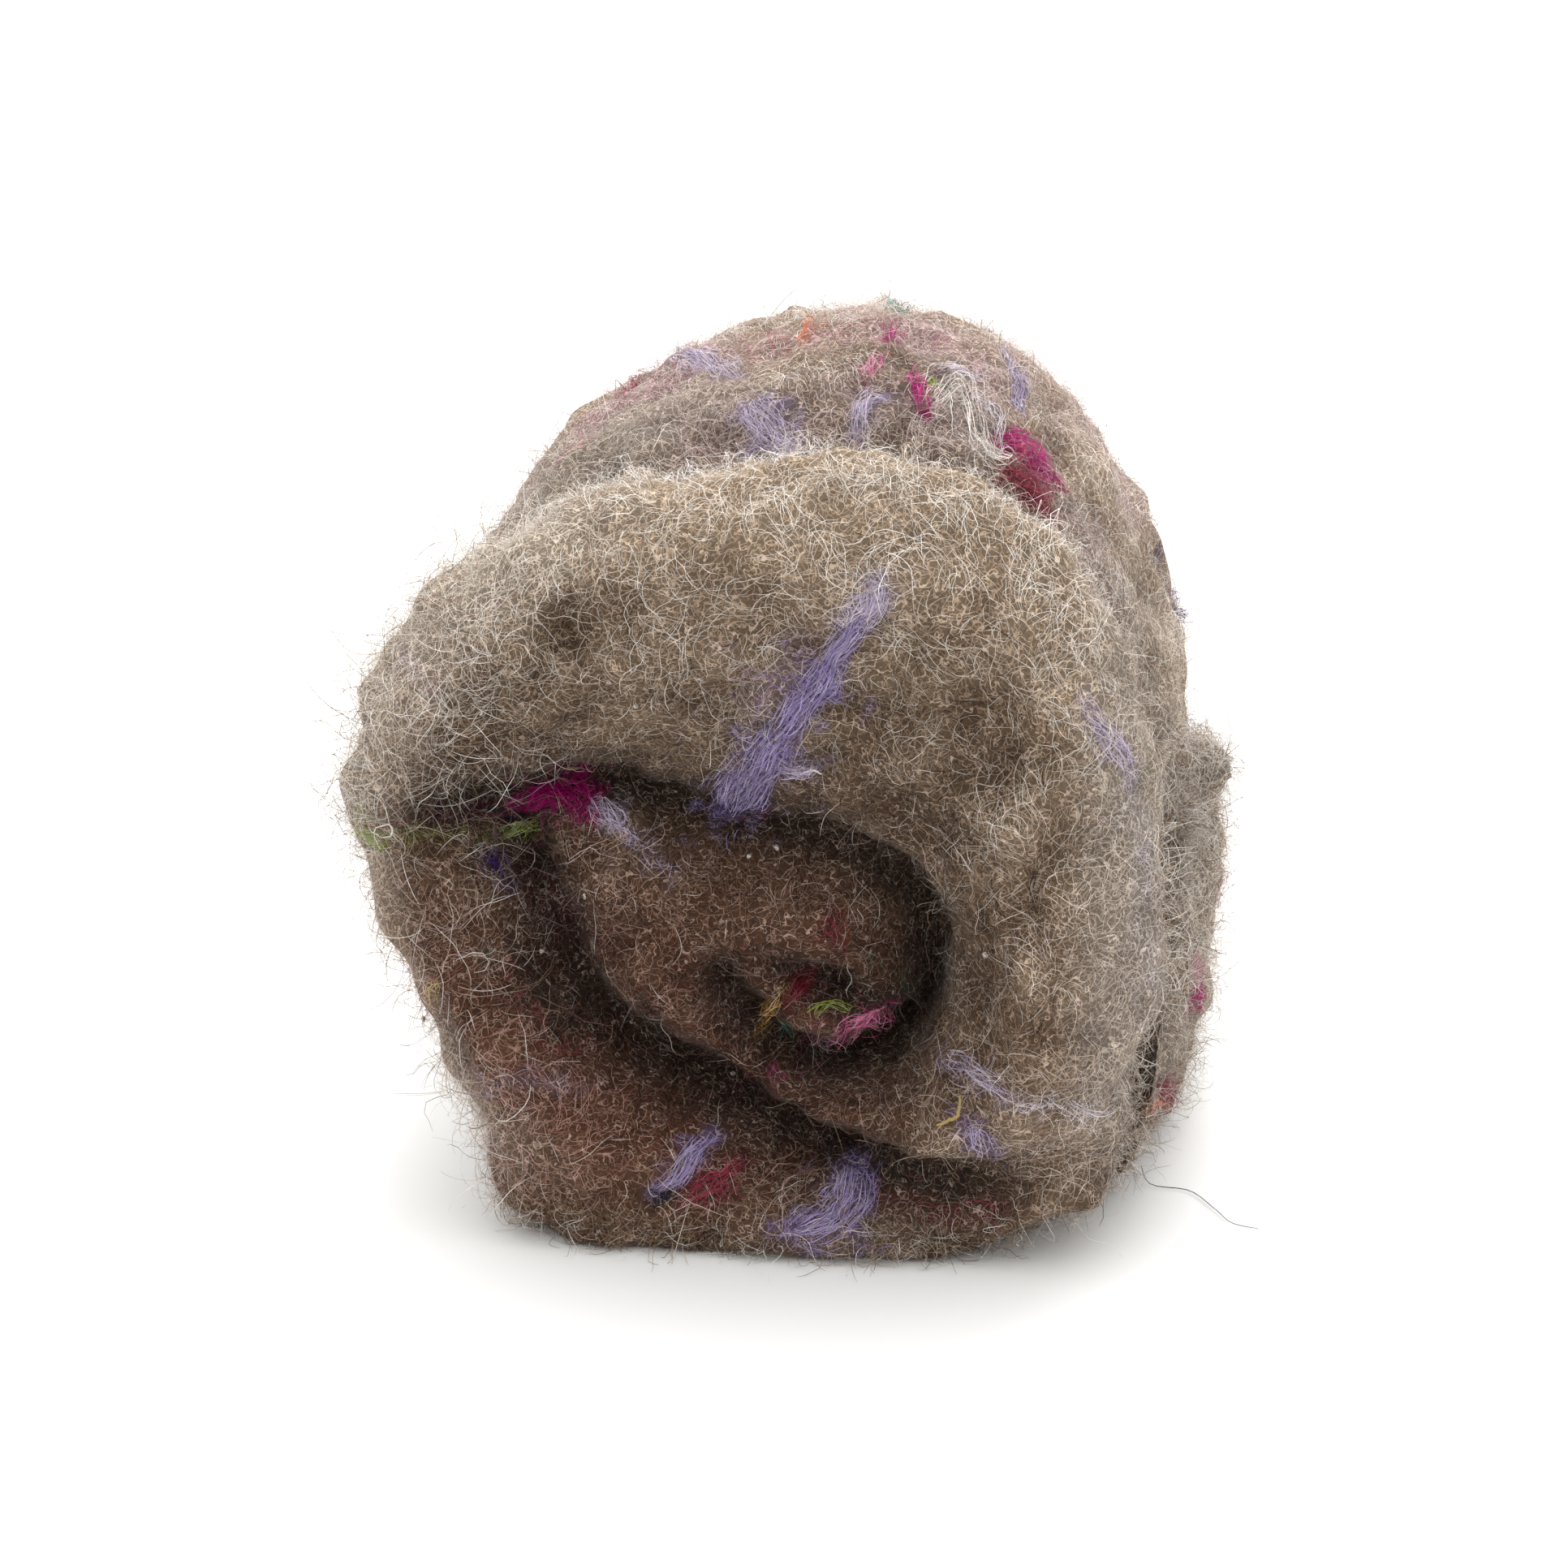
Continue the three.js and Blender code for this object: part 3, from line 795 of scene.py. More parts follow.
def torn_edge(points_mm, _):
    """Thickest along the loose end's upper edge."""
    front = 0.6 * (1 - smoothstep(points_mm[:, 1], -38, -30))
    return 0.15 + front + np.exp(-(((points_mm[:, 2] - TORN_EDGE_MM) / 7) ** 2))


def beside_the_end(points_mm, _):
    """The roll's side just in front of the loose end, where wisps bridge the gap."""
    x, y, z = points_mm.T
    along = np.exp(-(((y + 43) / 6) ** 2))
    return along * smoothstep(x, 50, 58) * (1 - smoothstep(z, 62, 76)) * smoothstep(z, 6, 16)


def torn_corner(points_mm, _):
    """The puff at the near end of the torn edge."""
    return np.exp(-(((points_mm[:, 2] - 72) / 4.5) ** 2) - ((points_mm[:, 1] + 32) / 6) ** 2)


def random_places(piece, count, thickness=everywhere):
    """Points scattered over a piece's faces, with their normals."""
    corners = corners_of(piece.data)
    points = points_of(piece.data)[corners]
    normals = normals_of(piece.data)[corners]
    cross = np.cross(points[:, 1] - points[:, 0], points[:, 2] - points[:, 0])
    weight = np.linalg.norm(cross, axis=1)
    weight *= thickness(millimetres(points.mean(1)), unit(normals.mean(1)))
    picks = rng.choice(len(corners), count, p=weight / weight.sum())
    a, b = rng.uniform(size=(2, count))
    over = a + b > 1
    a, b = np.where(over, 1 - a, a), np.where(over, 1 - b, b)
    shares = np.stack([1 - a - b, a, b], axis=1)[:, :, None]
    return (points[picks] * shares).sum(1), unit((normals[picks] * shares).sum(1))


def nearest_on(tree, points):
    """The wool's surface and normal nearest to each point."""
    found = np.empty_like(points)
    normals = np.empty_like(points)
    for i, point in enumerate(points.tolist()):
        hit, normal, _, _ = tree.find_nearest(point)
        found[i] = hit
        normals[i] = normal
    return found, normals


def in_surface(vectors, normals):
    return unit(vectors - normals * (vectors * normals).sum(1, keepdims=True))


def flow_at(points, normals):
    """The way round the roll, which is the way that the wool was carded, along the surface."""
    x, z, _ = from_axis(millimetres(points))
    return in_surface(np.stack([-z, np.zeros(len(z)), x], axis=1), normals)


def turned(vectors, normals, angles):
    """Vectors in the surface, turned about its normals."""
    sideways = np.cross(normals, vectors)
    return vectors * np.cos(angles)[:, None] + sideways * np.sin(angles)[:, None]


def walked(tree, places, normals, headings, steps, bends):
    """Paths that run over the wool and bend as they go, with the surface's normals along them."""
    paths, ways = [places], [normals]
    for bend in bends.T:
        ahead, normals = nearest_on(tree, paths[-1] + headings * steps[:, None])
        headings = turned(in_surface(headings, normals), normals, bend)
        paths.append(ahead)
        ways.append(normals)
    return np.stack(paths, axis=1), np.stack(ways, axis=1)


def crimped_bends(count, runs, steps, curls):
    """Turns between the runs: a steady curl that may swing to the other side on the way."""
    steady = rng.uniform(0.3, 1, count) * rng.choice([-1, 1], count)
    pace = rng.uniform(0.5, 1.9, count)
    swing = np.sin(rng.uniform(0, math.tau, count)[:, None] + pace[:, None] * np.arange(runs))
    mixture = rng.uniform(0, 1, count)[:, None]
    return (steps / curls)[:, None] * (steady[:, None] * (1 - mixture) + swing * mixture)


def raised(paths, ways, low, high):
    """Lifts paths off the wool in low arches whose ends dip into it."""
    count, points_each, _ = paths.shape
    share = np.linspace(0, 1, points_each)
    arch = np.sin(math.pi * share) ** 0.7
    lofty = (1 + 0.45 * waves_at(millimetres(paths[:, 0]), LOFT)).clip(0.3, 1.5)
    peak = ((low + (high - low) * rng.uniform(size=count) ** 1.4) * lofty).clip(0, HIGHEST_MM)
    ripple = 1 + 0.35 * np.sin(rng.uniform(0, math.tau, count)[:, None] + 5 * share)
    height = (peak[:, None] * ripple * arch - DIP_MM) * MM
    lifted = paths + ways * height[:, :, None]
    lifted[:, :, 2] = np.maximum(lifted[:, :, 2], FLOOR_CLEAR_MM * MM)
    return lifted


def fibre_piece(name, paths, ways, widths_mm, colours):
    """One piece of thin ribbons along paths. `ways` are the directions they face."""
    count, points_each, _ = paths.shape
    across = unit(np.cross(np.gradient(paths, axis=1), ways))
    taper = 0.4 + 0.6 * np.sin(math.pi * np.linspace(0, 1, points_each)) ** 0.5
    half = 0.5 * MM * widths_mm[:, None, None] * taper[None, :, None]
    vertices = np.stack([paths - across * half, paths + across * half], axis=2).reshape(-1, 3)
    first = 2 * np.arange(points_each - 1)
    quad = np.stack([first, first + 1, first + 3, first + 2], axis=1)
    faces = (quad[None] + (2 * points_each * np.arange(count))[:, None, None]).reshape(-1, 4)
    mesh = bpy.data.meshes.new(name)
    mesh.vertices.add(len(vertices))
    mesh.loops.add(faces.size)
    mesh.polygons.add(len(faces))
    mesh.vertices.foreach_set("co", vertices.ravel())
    mesh.loops.foreach_set("vertex_index", faces.astype(np.int32).ravel())
    mesh.polygons.foreach_set("loop_start", np.arange(0, faces.size, 4, dtype=np.int32))
    mesh.update(calc_edges=True)
    set_colours(mesh, np.repeat(colours.reshape(-1, 3), 2, axis=0))
    piece = bpy.data.objects.new(name, mesh)
    bpy.context.scene.collection.objects.link(piece)
    piece.data.shade_smooth()
    return piece


def along_fibres(colours, points_each, root_shade):
    """Each fibre's colour along it, darker by `root_shade` where its ends dip into the wool."""
    share = np.sin(math.pi * np.linspace(0, 1, points_each)) ** 0.7
    tone = root_shade + (1 - root_shade) * share
    return colours[:, None, :] * tone[None, :, None]


def picked_kinds(pale, shares):
    """A kind of fibre for each place, paler kinds more often where `pale` is higher: where painted
    light falls, and darker kinds in painted shade.
    """
    lean = np.linspace(-1, 1, len(shares))
    odds = shares[None, :] * np.exp(1.5 * lean[None, :] * pale[:, None])
    odds = np.cumsum(odds / odds.sum(1, keepdims=True), axis=1)
    return (rng.uniform(size=(len(pale), 1)) > odds).sum(1).clip(0, len(shares) - 1)


def fibre_colours(paths, undyed, pale, tufts):
    """Colours along each fibre, with painted light and shade. Where a tuft covers the wool, it
    takes the tuft's colour.
    """
    count, points_each, _ = paths.shape
    points_mm = millimetres(paths[:, points_each // 2])
    shade = shade_at(points_mm)
    # Painted light: brighter where the light falls; painted shade: darker deep in the creases.
    tone = rng.uniform(0.75, 1.2, count) * (1 + 0.3 * pale.clip(-1, 1))
    tone = tone * (1 - 0.12 * shade - 0.62 * shade**3)
    colours = undyed * tone[:, None]
    redder = colours * linear(RUSSET) / linear(BROWN)
    colours = mixed(colours, redder, 0.72 * redness_at(points_mm))
    colours = mixed(colours, linear(DUSTY_PINK) * tone[:, None], pinkness_at(points_mm))
    colours = mixed(colours, linear(PALE) * tone[:, None], PAINTED_GLOW_SHARE * painted_glow_at(points_mm))
    colours = along_fibres(colours, points_each, 0.6)
    weight, which = tuft_weights(paths.reshape(-1, 3), tufts)
    dyed = np.array([row["colour"] for row in tufts])[which].reshape(colours.shape)
    takes = rng.uniform(size=(count, 1)) < 0.9 * weight.reshape(count, points_each)
    dyed = dyed * rng.uniform(0.65, 1.3, (count, 1, 1))
    return np.where(takes[:, :, None], dyed, colours).clip(0, 1)


def lock_turns(points_mm):
    """How far each fibre turns from the flow. Neighbours turn alike, as in locks."""
    together = 1.1 * waves_at(points_mm, LOCKS)
    apart = rng.normal(0, 0.6, len(points_mm))
    return (together + apart) * (1 - 0.5 * smoothstep(points_mm[:, 0], 25, 55))


def wool_fibres(tree, piece, group, share, tufts, prefix=""):
    """Pieces of curled fibres that cover a piece of wool, with its share of the group's fibres."""
    count, runs, kinds = round(group["count"] * share), group["runs"], group["kinds"]
    places, normals = random_places(piece, count)
    points_mm = millimetres(places)
    # Painted light and shade: paler kinds where the light falls, darker ones in the creases.
    pale = painted_light_and_paleness_at(points_mm, normals) - 1.5 * shade_at(points_mm) ** 2
    sizes = np.array([kind[1:] for kind in kinds])
    picks = picked_kinds(pale, sizes[:, 0])
    _, low, high, step, curl, width = sizes[picks].T
    undyed = np.array([linear(kind[0]) for kind in kinds])[picks]
    steps = step * MM * rng.uniform(0.7, 1.3, count)
    bends = crimped_bends(count, runs, steps, curl * MM * rng.uniform(1, 2.8, count))
    headings = turned(flow_at(places, normals), normals, lock_turns(points_mm))
    paths, ways = walked(tree, places, normals, headings, steps, bends)
    colours = fibre_colours(paths, undyed, pale, tufts)
    paths = raised(paths, ways, low, high)
    faces = unit(ways + rng.normal(0, 0.35, ways.shape))
    widths = width * rng.uniform(0.7, 1.3, count)
    each = PIECE_TRIANGLES // (2 * runs)
    pieces = []
    for start in range(0, count, each):
        name = f"{prefix}{group['name']}_{len(pieces) + 1}"
        rows = (values[start : start + each] for values in (paths, faces, widths, colours))
        pieces.append(fibre_piece(name, *rows))
    return pieces


# Strands of silk that lie along the tufts. `per_mm2` is how many there are on each square
# millimetre of a tuft, with some `extra`, and a tuft of less than `least_cover` has none.
SILK = {"runs": 7, "per_mm2": 1.8, "extra": 14, "least_cover": 0.28, "longest": 8, "width": 0.11}
SILK_LIE = {"wave": 0.8, "low": 0.4, "high": 2.0}


def along_path(row, shares):
    """Places, directions and half widths at shares of a tuft's length."""
    last = len(row["path"]) - 1
    at = shares * last
    ends = [curve_through(row["path"], np.clip(at + shift, 0, last)) for shift in (0, -0.1, 0.1)]
    halves = np.interp(at, np.arange(last + 1), row["halves"])
    return ends[0], unit(ends[2] - ends[1]), halves


def silk_on(row):
    """Strands of one tuft, before they are laid on the wool."""
    length = np.linalg.norm(np.diff(row["path"], axis=0), axis=1).sum()
    area = length * 2 * row["halves"].mean() / MM**2
    count = round((SILK["per_mm2"] * area + SILK["extra"]) * row["cover"])
    cover = np.minimum(1, SILK["longest"] * MM / length) * rng.uniform(0.45, 1, count)
    start = rng.uniform(-0.05, 1.05, count) * (1 - cover)
    shares = start[:, None] + cover[:, None] * np.linspace(0, 1, SILK["runs"] + 1)
    shares = shares.clip(0, 1)
    places, ways, halves = along_path(row, shares.ravel())
    side = unit(np.cross(ways, row["facing"]))
    offset = rng.normal(0, 0.6, count)[:, None] * np.ones(SILK["runs"] + 1)
    phase, pace = rng.uniform(0, math.tau, (count, 1)), rng.uniform(2, 9, (count, 1))
    wave = np.sin(phase + pace * shares) * SILK_LIE["wave"] * MM
    sideways = offset.ravel() * halves + wave.ravel()
    laid = places + side * sideways[:, None]
    tone = rng.uniform(0.6, 1.4, (count, 1))
    pale = rng.uniform(0, 0.35, count) * (row["colour"].mean() > 0.2)
    return laid.reshape(count, -1, 3), mixed(row["colour"] * tone, linear(CREAM)[None, :], pale)


def silk_strands(tree, tufts):
    strands = [silk_on(row) for row in tufts if row["cover"] >= SILK["least_cover"]]
    laid = np.concatenate([paths for paths, _ in strands])
    colours = np.concatenate([colours for _, colours in strands])
    count, points_each, _ = laid.shape
    places, normals = nearest_on(tree, laid.reshape(-1, 3))
    ways = normals.reshape(laid.shape)
    paths = raised(places.reshape(laid.shape), ways, SILK_LIE["low"], SILK_LIE["high"])
    widths = SILK["width"] * rng.uniform(0.7, 1.4, count)
    faces = unit(ways + rng.normal(0, 0.3, ways.shape))
    colours = along_fibres(colours.clip(0, 1), points_each, 0.8)
    return fibre_piece("silk_tufts", paths, faces, widths, colours)


# Loose fibres that stand off the wool in arcs and loops

WOOL_TONES = [(BROWN, 0.2), (TAUPE, 0.33), (PALE, 0.3), (CREAM, 0.17)]
# The same wool colours with more of the pale ones, for the wisps at the rims and the torn edge:
# partly paler wool, partly painted light where light shines through them.
PALE_AND_PAINTED_LIGHT_TONES = [(BROWN, 0.12), (TAUPE, 0.28), (PALE, 0.36), (CREAM, 0.24)]


def loose_kind(name, where, tones, count, runs, step, curl, stand, width=0.085):
    """A kind of loose fibre. `step` is the length of a straight run, `curl` the tightest radius
    that it bends to, and `stand` how steeply it leaves the wool."""
    form = {"runs": runs, "step": step, "curl": curl, "stand": stand, "width": width}
    return {"name": name, "where": where, "tones": tones, "count": count, **form}


BODY_FUZZ = [
    loose_kind("standing_fuzz", everywhere, WOOL_TONES, 6000, 5, 1.0, 0.8, 0.9),
    loose_kind("shoulder_wisps", left_shoulder, PALE_AND_PAINTED_LIGHT_TONES, 3500, 8, 1.4, 1.5, 1.2, 0.095),
    loose_kind("long_loops", everywhere, WOOL_TONES, 1200, 10, 1.25, 1.3, 1.0),
    loose_kind("foot_loops", round_the_foot, WOOL_TONES, 3000, 8, 0.95, 0.8, 1.0),
]
END_FUZZ = [
    loose_kind("torn_edge_wisps", torn_edge, PALE_AND_PAINTED_LIGHT_TONES, 3800, 8, 1.15, 0.8, 1.2),
    loose_kind("torn_corner_puff", torn_corner, PALE_AND_PAINTED_LIGHT_TONES, 900, 9, 1.2, 1.0, 1.6),
]
GAP_WISPS = loose_kind(
    "wisps_beside_the_end", beside_the_end, PALE_AND_PAINTED_LIGHT_TONES, 1500, 6, 1.3, 1.2, 1.1, 0.11
)


def fuzz(piece, kind):
    """One piece of loose fibres that start at random places on a piece of wool."""
    count, runs = kind["count"], kind["runs"]
    places, normals = random_places(piece, count, kind["where"])
    steps = kind["step"] * MM * rng.uniform(0.6, 1.35, count)
    heading = turned(flow_at(places, normals), normals, rng.uniform(0, math.tau, count))
    heading = unit(heading + normals * kind["stand"] * rng.uniform(0.2, 1.2, (count, 1)))
    side = unit(rng.normal(size=(count, 3)))
    bends = crimped_bends(count, runs, steps, kind["curl"] * MM * rng.uniform(0.8, 2.5, count))
    paths = [places - normals * ROOT_MM * MM]
    for bend in bends.T:
        paths.append(paths[-1] + heading * steps[:, None])
        bent = heading * np.cos(bend)[:, None] + np.cross(side, heading) * np.sin(bend)[:, None]
        heading = unit(bent - normals * 0.1)
    paths = np.stack(paths, axis=1)
    paths[:, :, 2] = np.maximum(paths[:, :, 2], FLOOR_CLEAR_MM * MM)
    tones = np.array([linear(colour) for colour, _ in kind["tones"]])
    colours = tones[rng.choice(len(tones), count, p=[share for _, share in kind["tones"]])]
    colours = colours * (1 - 0.75 * shade_at(millimetres(places))[:, None])
    faces = np.repeat(unit(rng.normal(size=(count, 1, 3))), runs + 1, axis=1)
    widths = kind["width"] * rng.uniform(0.7, 1.3, count)
    return fibre_piece(kind["name"], paths, faces, widths, along_fibres(colours, runs + 1, 0.75))


# Bits among the wool: threads, straw and neps, which are tiny hard tangles of fibre


def bit(colour, width, *photo_px):
    return {"colour": colour, "width": width, "photo_px": photo_px}


THREAD_LOOP_PX = [(462, 1010), (470, 1024), (480, 1024), (483, 1014), (475, 1010)]
BITS = [
    bit(CREAM, 0.22, *THREAD_LOOP_PX, (470, 1026), (478, 1044)),
    bit(CREAM, 0.3, (986, 944), (1000, 940), (1014, 946)),
    bit(TAN, 0.55, (1156, 1384), (1174, 1376), (1189, 1366), (1192, 1350)),
    bit(TAN, 0.35, (534, 1204), (537, 1220), (538, 1236)),
    bit(CRIMSON, 0.16, (414, 996), (424, 1004), (440, 1006), (470, 1012), (500, 1004)),
    bit(GREEN, 0.2, (996, 1250), (1010, 1243), (1030, 1240), (1052, 1247)),
    bit(ORANGE, 0.3, (986, 428), (994, 418), (1000, 408), (1013, 399)),
    bit(NAVY, 0.2, (560, 1000), (590, 1004), (622, 998), (650, 992)),
]
STRAY_FIBRE_MM = [
    (65, -20, 2),
    (67, -24.5, 0.5),
    (73.5, -25.5, 0.3),
    (78, -32, 0.3),
    (81, -37, 0.3),
    (85.5, -38.5, 0.3),
]
STRAY_WIDTH_MM = 0.2
STRAY_FACING = (0.3, -0.5, 0.8)
BIT_POINTS = 22
BIT_LIFT_MM = 1.7
NEPS_PX = [(960, 753), (785, 865), (595, 873), (920, 1055), (1225, 1175), (730, 1100)]
STREWN_NEPS = 14
NEP_RADIUS_MM = (0.25, 0.42)
NEP_LIFT_MM = 1.5


def loose_bits(tree):
    """Threads and straw that lie on top of the wool, and the fibre astray on the floor."""
    at = np.linspace(0, 1, BIT_POINTS)
    paths, widths, colours, ways = [], [], [], []
    for row in BITS:
        seen = [seen_at(tree, px) for px in row["photo_px"]]
        path = np.array([place for place, _ in filter(None, seen)])
        path = curve_through(path, at * (len(path) - 1))
        _, normals = nearest_on(tree, path)
        paths.append(path + normals * BIT_LIFT_MM * MM)
        ways.append(normals)
        widths.append(row["width"])
        colours.append(linear(row["colour"]))
    stray = np.array(STRAY_FIBRE_MM)
    paths.append(metres(curve_through(stray, at * (len(stray) - 1))))
    ways.append(np.tile(STRAY_FACING, (BIT_POINTS, 1)))
    widths.append(STRAY_WIDTH_MM)
    colours.append(linear(DARK_BROWN))
    colours = along_fibres(np.array(colours), BIT_POINTS, 0.9)
    return fibre_piece("loose_bits", np.array(paths), np.array(ways), np.array(widths), colours)


def neps(tree, piece):
    """Small knobbly balls, each a rough sphere with waves of knobs, joined in one piece."""
    places = [seen_at(tree, px)[0] for px in NEPS_PX]
    places += list(random_places(piece, STREWN_NEPS)[0])
    bpy.ops.object.select_all(action="DESELECT")
    balls = []
    for place in places:
        radius = rng.uniform(*NEP_RADIUS_MM) * MM
        bpy.ops.mesh.primitive_ico_sphere_add(subdivisions=2, radius=radius)
        ball = bpy.context.object
        points = points_of(ball.data) * rng.uniform(0.6, 1.5, 3)
        knobs = 1 + 0.25 * waves_at(points / MM + len(balls), KNOBS)
        _, normal, _, _ = tree.find_nearest(Vector(place))
        lift = np.array(normal) * NEP_LIFT_MM * MM
        set_points(ball.data, points * knobs[:, None] + place + lift)
        balls.append(ball)
    for ball in balls:
        ball.select_set(True)
    bpy.context.view_layer.objects.active = balls[0]
    bpy.ops.object.join()
    joined = bpy.context.object
    joined.name = "neps"
    set_colours(joined.data, np.tile(linear(PALE), (len(joined.data.vertices), 1)))
    joined.data.shade_smooth()
    return joined


# Materials


def add_node(tree, kind, links=(), **settings):
    """Adds a node. `settings` are its options or its inputs' values, and each of `links` joins one
    of its inputs to another node's output: (input, node, output)."""
    node = tree.nodes.new(kind)
    for name, value in settings.items():
        if hasattr(node, name):
            setattr(node, name, value)
        else:
            node.inputs[name.replace("_", " ")].default_value = value
    for name, source, output in links:
        tree.links.new(source.outputs[output], node.inputs[name])
    return node


def noise(tree, scale, detail=2.0, place=None, output="Object"):
    """A cloudy pattern, fixed to the mesh's own coordinates unless another place is given."""
    place = place or add_node(tree, "ShaderNodeTexCoord")
    settings = {"Scale": scale, "Detail": detail}
    return add_node(tree, "ShaderNodeTexNoise", [("Vector", place, output)], **settings)


def remapped(tree, source, output, from_range, to_range):
    """A number brought from one range to another."""
    (from_min, from_max), (to_min, to_max) = from_range, to_range
    ends = {"From_Min": from_min, "From_Max": from_max, "To_Min": to_min, "To_Max": to_max}
    return add_node(tree, "ShaderNodeMapRange", [("Value", source, output)], **ends)


def scaled_dye(tree, tone, output):
    """The mesh's own colours, brighter or darker by a tone."""
    dye = add_node(tree, "ShaderNodeAttribute", attribute_name="dye")
    links = [(0, dye, "Color"), ("Scale", tone, output)]
    return add_node(tree, "ShaderNodeVectorMath", links, operation="SCALE")


def new_material(name):
    material = bpy.data.materials.new(name)
    material.use_nodes = True
    material.node_tree.nodes.clear()
    return material, material.node_tree


# Layers of the matted wool's fibres, from the deepest. The contour lines of a cloudy pattern curl
# and close as crimped wool does. `cloud_mm` is the size of its clouds, `thick` how thick its lines
# are beside the gaps, `tone` how bright, and `shift` moves it so that no two layers are alike. The
# deeper layers are darker and the top one brightest, as painted shade and light in the wool's
# depth.
WEB_LAYERS = [
    {"cloud_mm": 3.0, "thick": 0.17, "tone": 0.75, "shift": (0.3, 0.1, 0.7)},
    {"cloud_mm": 3.4, "thick": 0.12, "tone": 1.05, "shift": (0.9, 0.5, 0.2)},
    {"cloud_mm": 4.2, "thick": 0.08, "tone": 1.45, "shift": (0.4, 0.8, 0.6)},
]
CONTOURS = 7  # lines in each cloud
CLOUD_DETAIL = 2.6
# How bright the grainy gaps between the lines are: painted shade.
SHADED_GAP_TONES = (0.228, 0.532)


def web_layer(tree, place, layer, below):
    """Adds one layer of fibre lines over the tone of those below."""
    moved = add_node(tree, "ShaderNodeVectorMath", [(0, place, "Object")], operation="ADD")
    moved.inputs[1].default_value = layer["shift"]
    cloud = noise(tree, 1000 / layer["cloud_mm"], CLOUD_DETAIL, moved, "Vector")
    height = add_node(tree, "ShaderNodeMath", [(0, cloud, "Fac")], operation="MULTIPLY")
    height.inputs[1].default_value = CONTOURS
    contour = add_node(tree, "ShaderNodeMath", [(0, height, "Value")], operation="PINGPONG")
    contour.inputs[1].default_value = 0.5
    edges = (layer["thick"] * 0.4, layer["thick"])
    line = remapped(tree, contour, "Value", edges, (layer["tone"], 0.0))
    links = [(0, line, "Result"), (1, below, 0)]
    return add_node(tree, "ShaderNodeMath", links, operation="MAXIMUM")


def matted_wool():
    """Carded wool, matted: crimped fibres about a thirtieth of a millimetre thick, drawn about
    three times as thick so that they show. It is dull, with a soft bright edge of fuzz. Its gaps
    and deeper fibres are darker, as painted shade, and its top fibres paler, as a painted
    highlight."""
    material, tree = new_material("matted_carded_wool")
    place = add_node(tree, "ShaderNodeTexCoord")
    grain = noise(tree, 2500.0, place=place)
    tone = remapped(tree, grain, "Fac", (0.0, 1.0), SHADED_GAP_TONES)
    for layer in WEB_LAYERS:
        tone = web_layer(tree, place, layer, tone)
    dyed = scaled_dye(tree, tone, "Value")
    # Painted highlight: the brightest fibre lines turn towards pale grey.
    painted_highlight = remapped(tree, tone, "Value", (0.8, 1.5), (0.0, 0.35))
    colour = add_node(tree, "ShaderNodeMix", data_type="VECTOR")
    tree.links.new(painted_highlight.outputs["Result"], colour.inputs[0])
    tree.links.new(dyed.outputs["Vector"], colour.inputs[4])
    colour.inputs[5].default_value = linear(PALE)
    height = [("Height", tone, "Value")]
    bump = add_node(tree, "ShaderNodeBump", height, Strength=0.7, Distance=0.0003)
    surface = add_node(
        tree,
        "ShaderNodeBsdfPrincipled",
        [("Base Color", colour, 1), ("Normal", bump, "Normal")],
        Roughness=0.9,
        Sheen_Weight=0.15,
        Sheen_Roughness=0.5,
        Sheen_Tint=(*linear(PALE), 1),
        Specular_IOR_Level=0.15,
    )
    add_node(tree, "ShaderNodeOutputMaterial", [("Surface", surface, "BSDF")])
    return material


def fibre(name, roughness, through):
    """Single fibres. Light passes through each of them a little, by the share `through`."""
    material, tree = new_material(name)
    scales = noise(tree, 1500.0, 1.0)
    tone = remapped(tree, scales, "Fac", (0.3, 0.7), (0.85, 1.15))
    colour = scaled_dye(tree, tone, "Result")
    front = [("Base Color", colour, "Vector")]
    look = {"Roughness": roughness, "Specular_IOR_Level": 0.3}
    surface = add_node(tree, "ShaderNodeBsdfPrincipled", front, **look)
    behind = add_node(tree, "ShaderNodeBsdfTranslucent", [("Color", colour, "Vector")])
    both = [(1, surface, "BSDF"), (2, behind, "BSDF")]
    mixture = add_node(tree, "ShaderNodeMixShader", both, Fac=through)
    add_node(tree, "ShaderNodeOutputMaterial", [("Surface", mixture, "Shader")])
    return material


def wool_fibre():
    """Crimped wool fibres: scaly, so they shine only a little."""
    return fibre("crimped_wool_fibre", 0.6, 0.35)


def silk_fibre():
    """Dyed silk: smooth and glossier than the wool."""
    return fibre("dyed_silk_fibre", 0.4, 0.25)


def painted_floor():
    """A white studio floor, matt, with the faintest mottling."""
    material, tree = new_material("white_studio_floor")
    tone = remapped(tree, noise(tree, 3.0), "Fac", (0.0, 1.0), (0.76, 0.79))
    links = [("Base Color", tone, "Result")]
    surface = add_node(tree, "ShaderNodeBsdfPrincipled", links, Roughness=0.8)
    add_node(tree, "ShaderNodeOutputMaterial", [("Surface", surface, "BSDF")])
    return material


# Putting it together


def wool_piece(node, name, voxel_mm, swells=False):
    piece = copy_of_node(node, name)
    soften(piece, voxel_mm)
    shape_wool(piece, swells)
    piece.data.shade_smooth()
    return piece


def surface_tree(*pieces):
    """All the given meshes as one tree for rays and nearest points."""
    points, faces, start = [], [], 0
    for piece in pieces:
        mesh = piece.data
        points.extend(v.co.copy() for v in mesh.vertices)
        faces.extend([start + i for i in polygon.vertices] for polygon in mesh.polygons)
        start += len(mesh.vertices)
    return BVHTree.FromPolygons(points, faces)


FLOOR_SIZE_M = 12
FLOOR_DROP_M = 0.0002


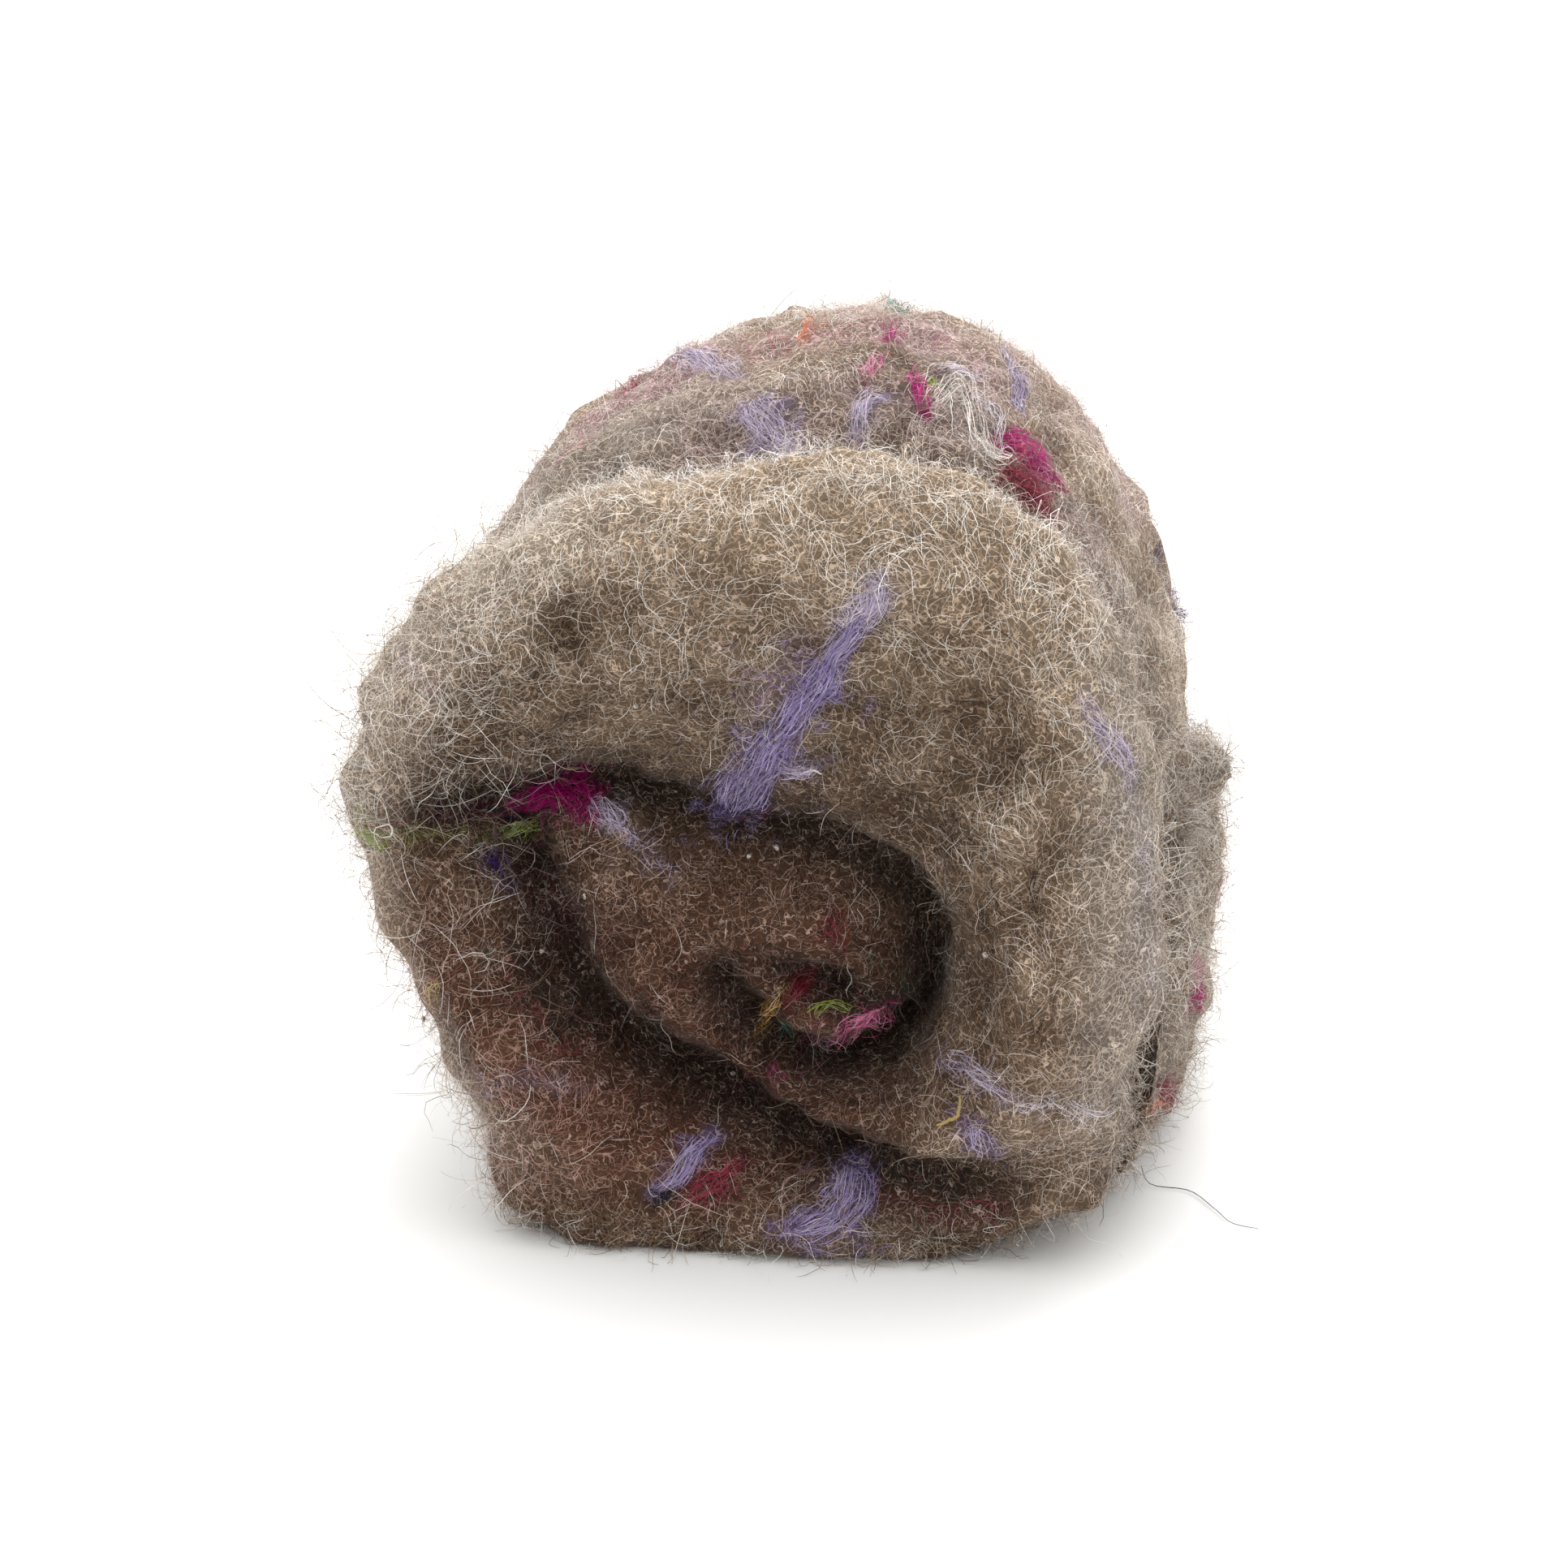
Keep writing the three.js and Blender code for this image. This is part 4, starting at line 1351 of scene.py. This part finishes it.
def make_floor():
    bpy.ops.object.select_all(action="DESELECT")
    bpy.ops.mesh.primitive_plane_add(size=FLOOR_SIZE_M, location=(0, 0, -FLOOR_DROP_M))
    floor = bpy.context.object
    floor.name = "studio_floor"
    bpy.ops.object.transform_apply(location=True, rotation=True, scale=True)
    floor.data.materials.append(painted_floor())


LIGHT_AIM_M = (0, 0, 0.07)
ROOM_COLOUR = "fdfdfb"
ROOM_STRENGTHS = (0.93, 1.75)  # level with the horizon, and overhead


def area_light(name, place, size, power):
    """A round soft light. Its place and size are in metres."""
    data = bpy.data.lights.new(name, "AREA")
    data.shape = "DISK"
    data.size = size
    data.energy = power
    light = bpy.data.objects.new(name, data)
    light.location = place
    away = Vector(place) - Vector(LIGHT_AIM_M)
    light.rotation_euler = away.to_track_quat("Z", "Y").to_euler()
    bpy.context.scene.collection.objects.link(light)


def white_room():
    """A white room that is brightest overhead."""
    world = bpy.data.worlds.new("white_room")
    world.use_nodes = True
    tree = world.node_tree
    place = add_node(tree, "ShaderNodeTexCoord")
    parts = add_node(tree, "ShaderNodeSeparateXYZ", [("Vector", place, "Generated")])
    strength = remapped(tree, parts, "Z", (0.0, 1.0), ROOM_STRENGTHS)
    background = tree.nodes["Background"]
    background.inputs["Color"].default_value = (*linear(ROOM_COLOUR), 1)
    tree.links.new(strength.outputs["Result"], background.inputs["Strength"])
    return world


def make_light():
    """A big soft light overhead, one behind, and a white room round them."""
    area_light("overhead", (-0.1, 0.15, 1.1), 1.0, 8)
    area_light("behind", (0.25, 0.9, 0.7), 0.9, 9)
    bpy.context.scene.world = white_room()
    bpy.context.scene.view_settings.view_transform = "Standard"


def ride_wool(piece, material):
    piece.data.materials.append(material)
    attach(piece, "root")


make_camera()
make_light()
make_floor()

body = wool_piece("batt_roll", "matted_roll", BODY_VOXEL_MM)
loose_end = wool_piece("loose_end", "matted_loose_end", END_VOXEL_MM, swells=True)
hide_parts("batt_roll")
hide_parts("loose_end")

wool_tree = surface_tree(body, loose_end)
tufts = laid_tufts(wool_tree)
matted = matted_wool()
for piece in (body, loose_end):
    colours = body_colours(points_of(piece.data), normals_of(piece.data), tufts)
    set_colours(piece.data, colours)
    ride_wool(piece, matted)

wool = wool_fibre()
fibres = []
for piece, share, prefix in ((body, 1 - END_SHARE, ""), (loose_end, END_SHARE, "loose_end_")):
    for group in (MATTED, LOFTY):
        fibres += wool_fibres(wool_tree, piece, group, share, tufts, prefix)
for piece, kinds in ((body, BODY_FUZZ), (loose_end, END_FUZZ), (body, [GAP_WISPS])):
    fibres += [fuzz(piece, kind) for kind in kinds]
fibres.append(loose_bits(wool_tree))
for piece in fibres:
    ride_wool(piece, wool)
ride_wool(neps(wool_tree, body), matted)
ride_wool(silk_strands(wool_tree, tufts), silk_fibre())
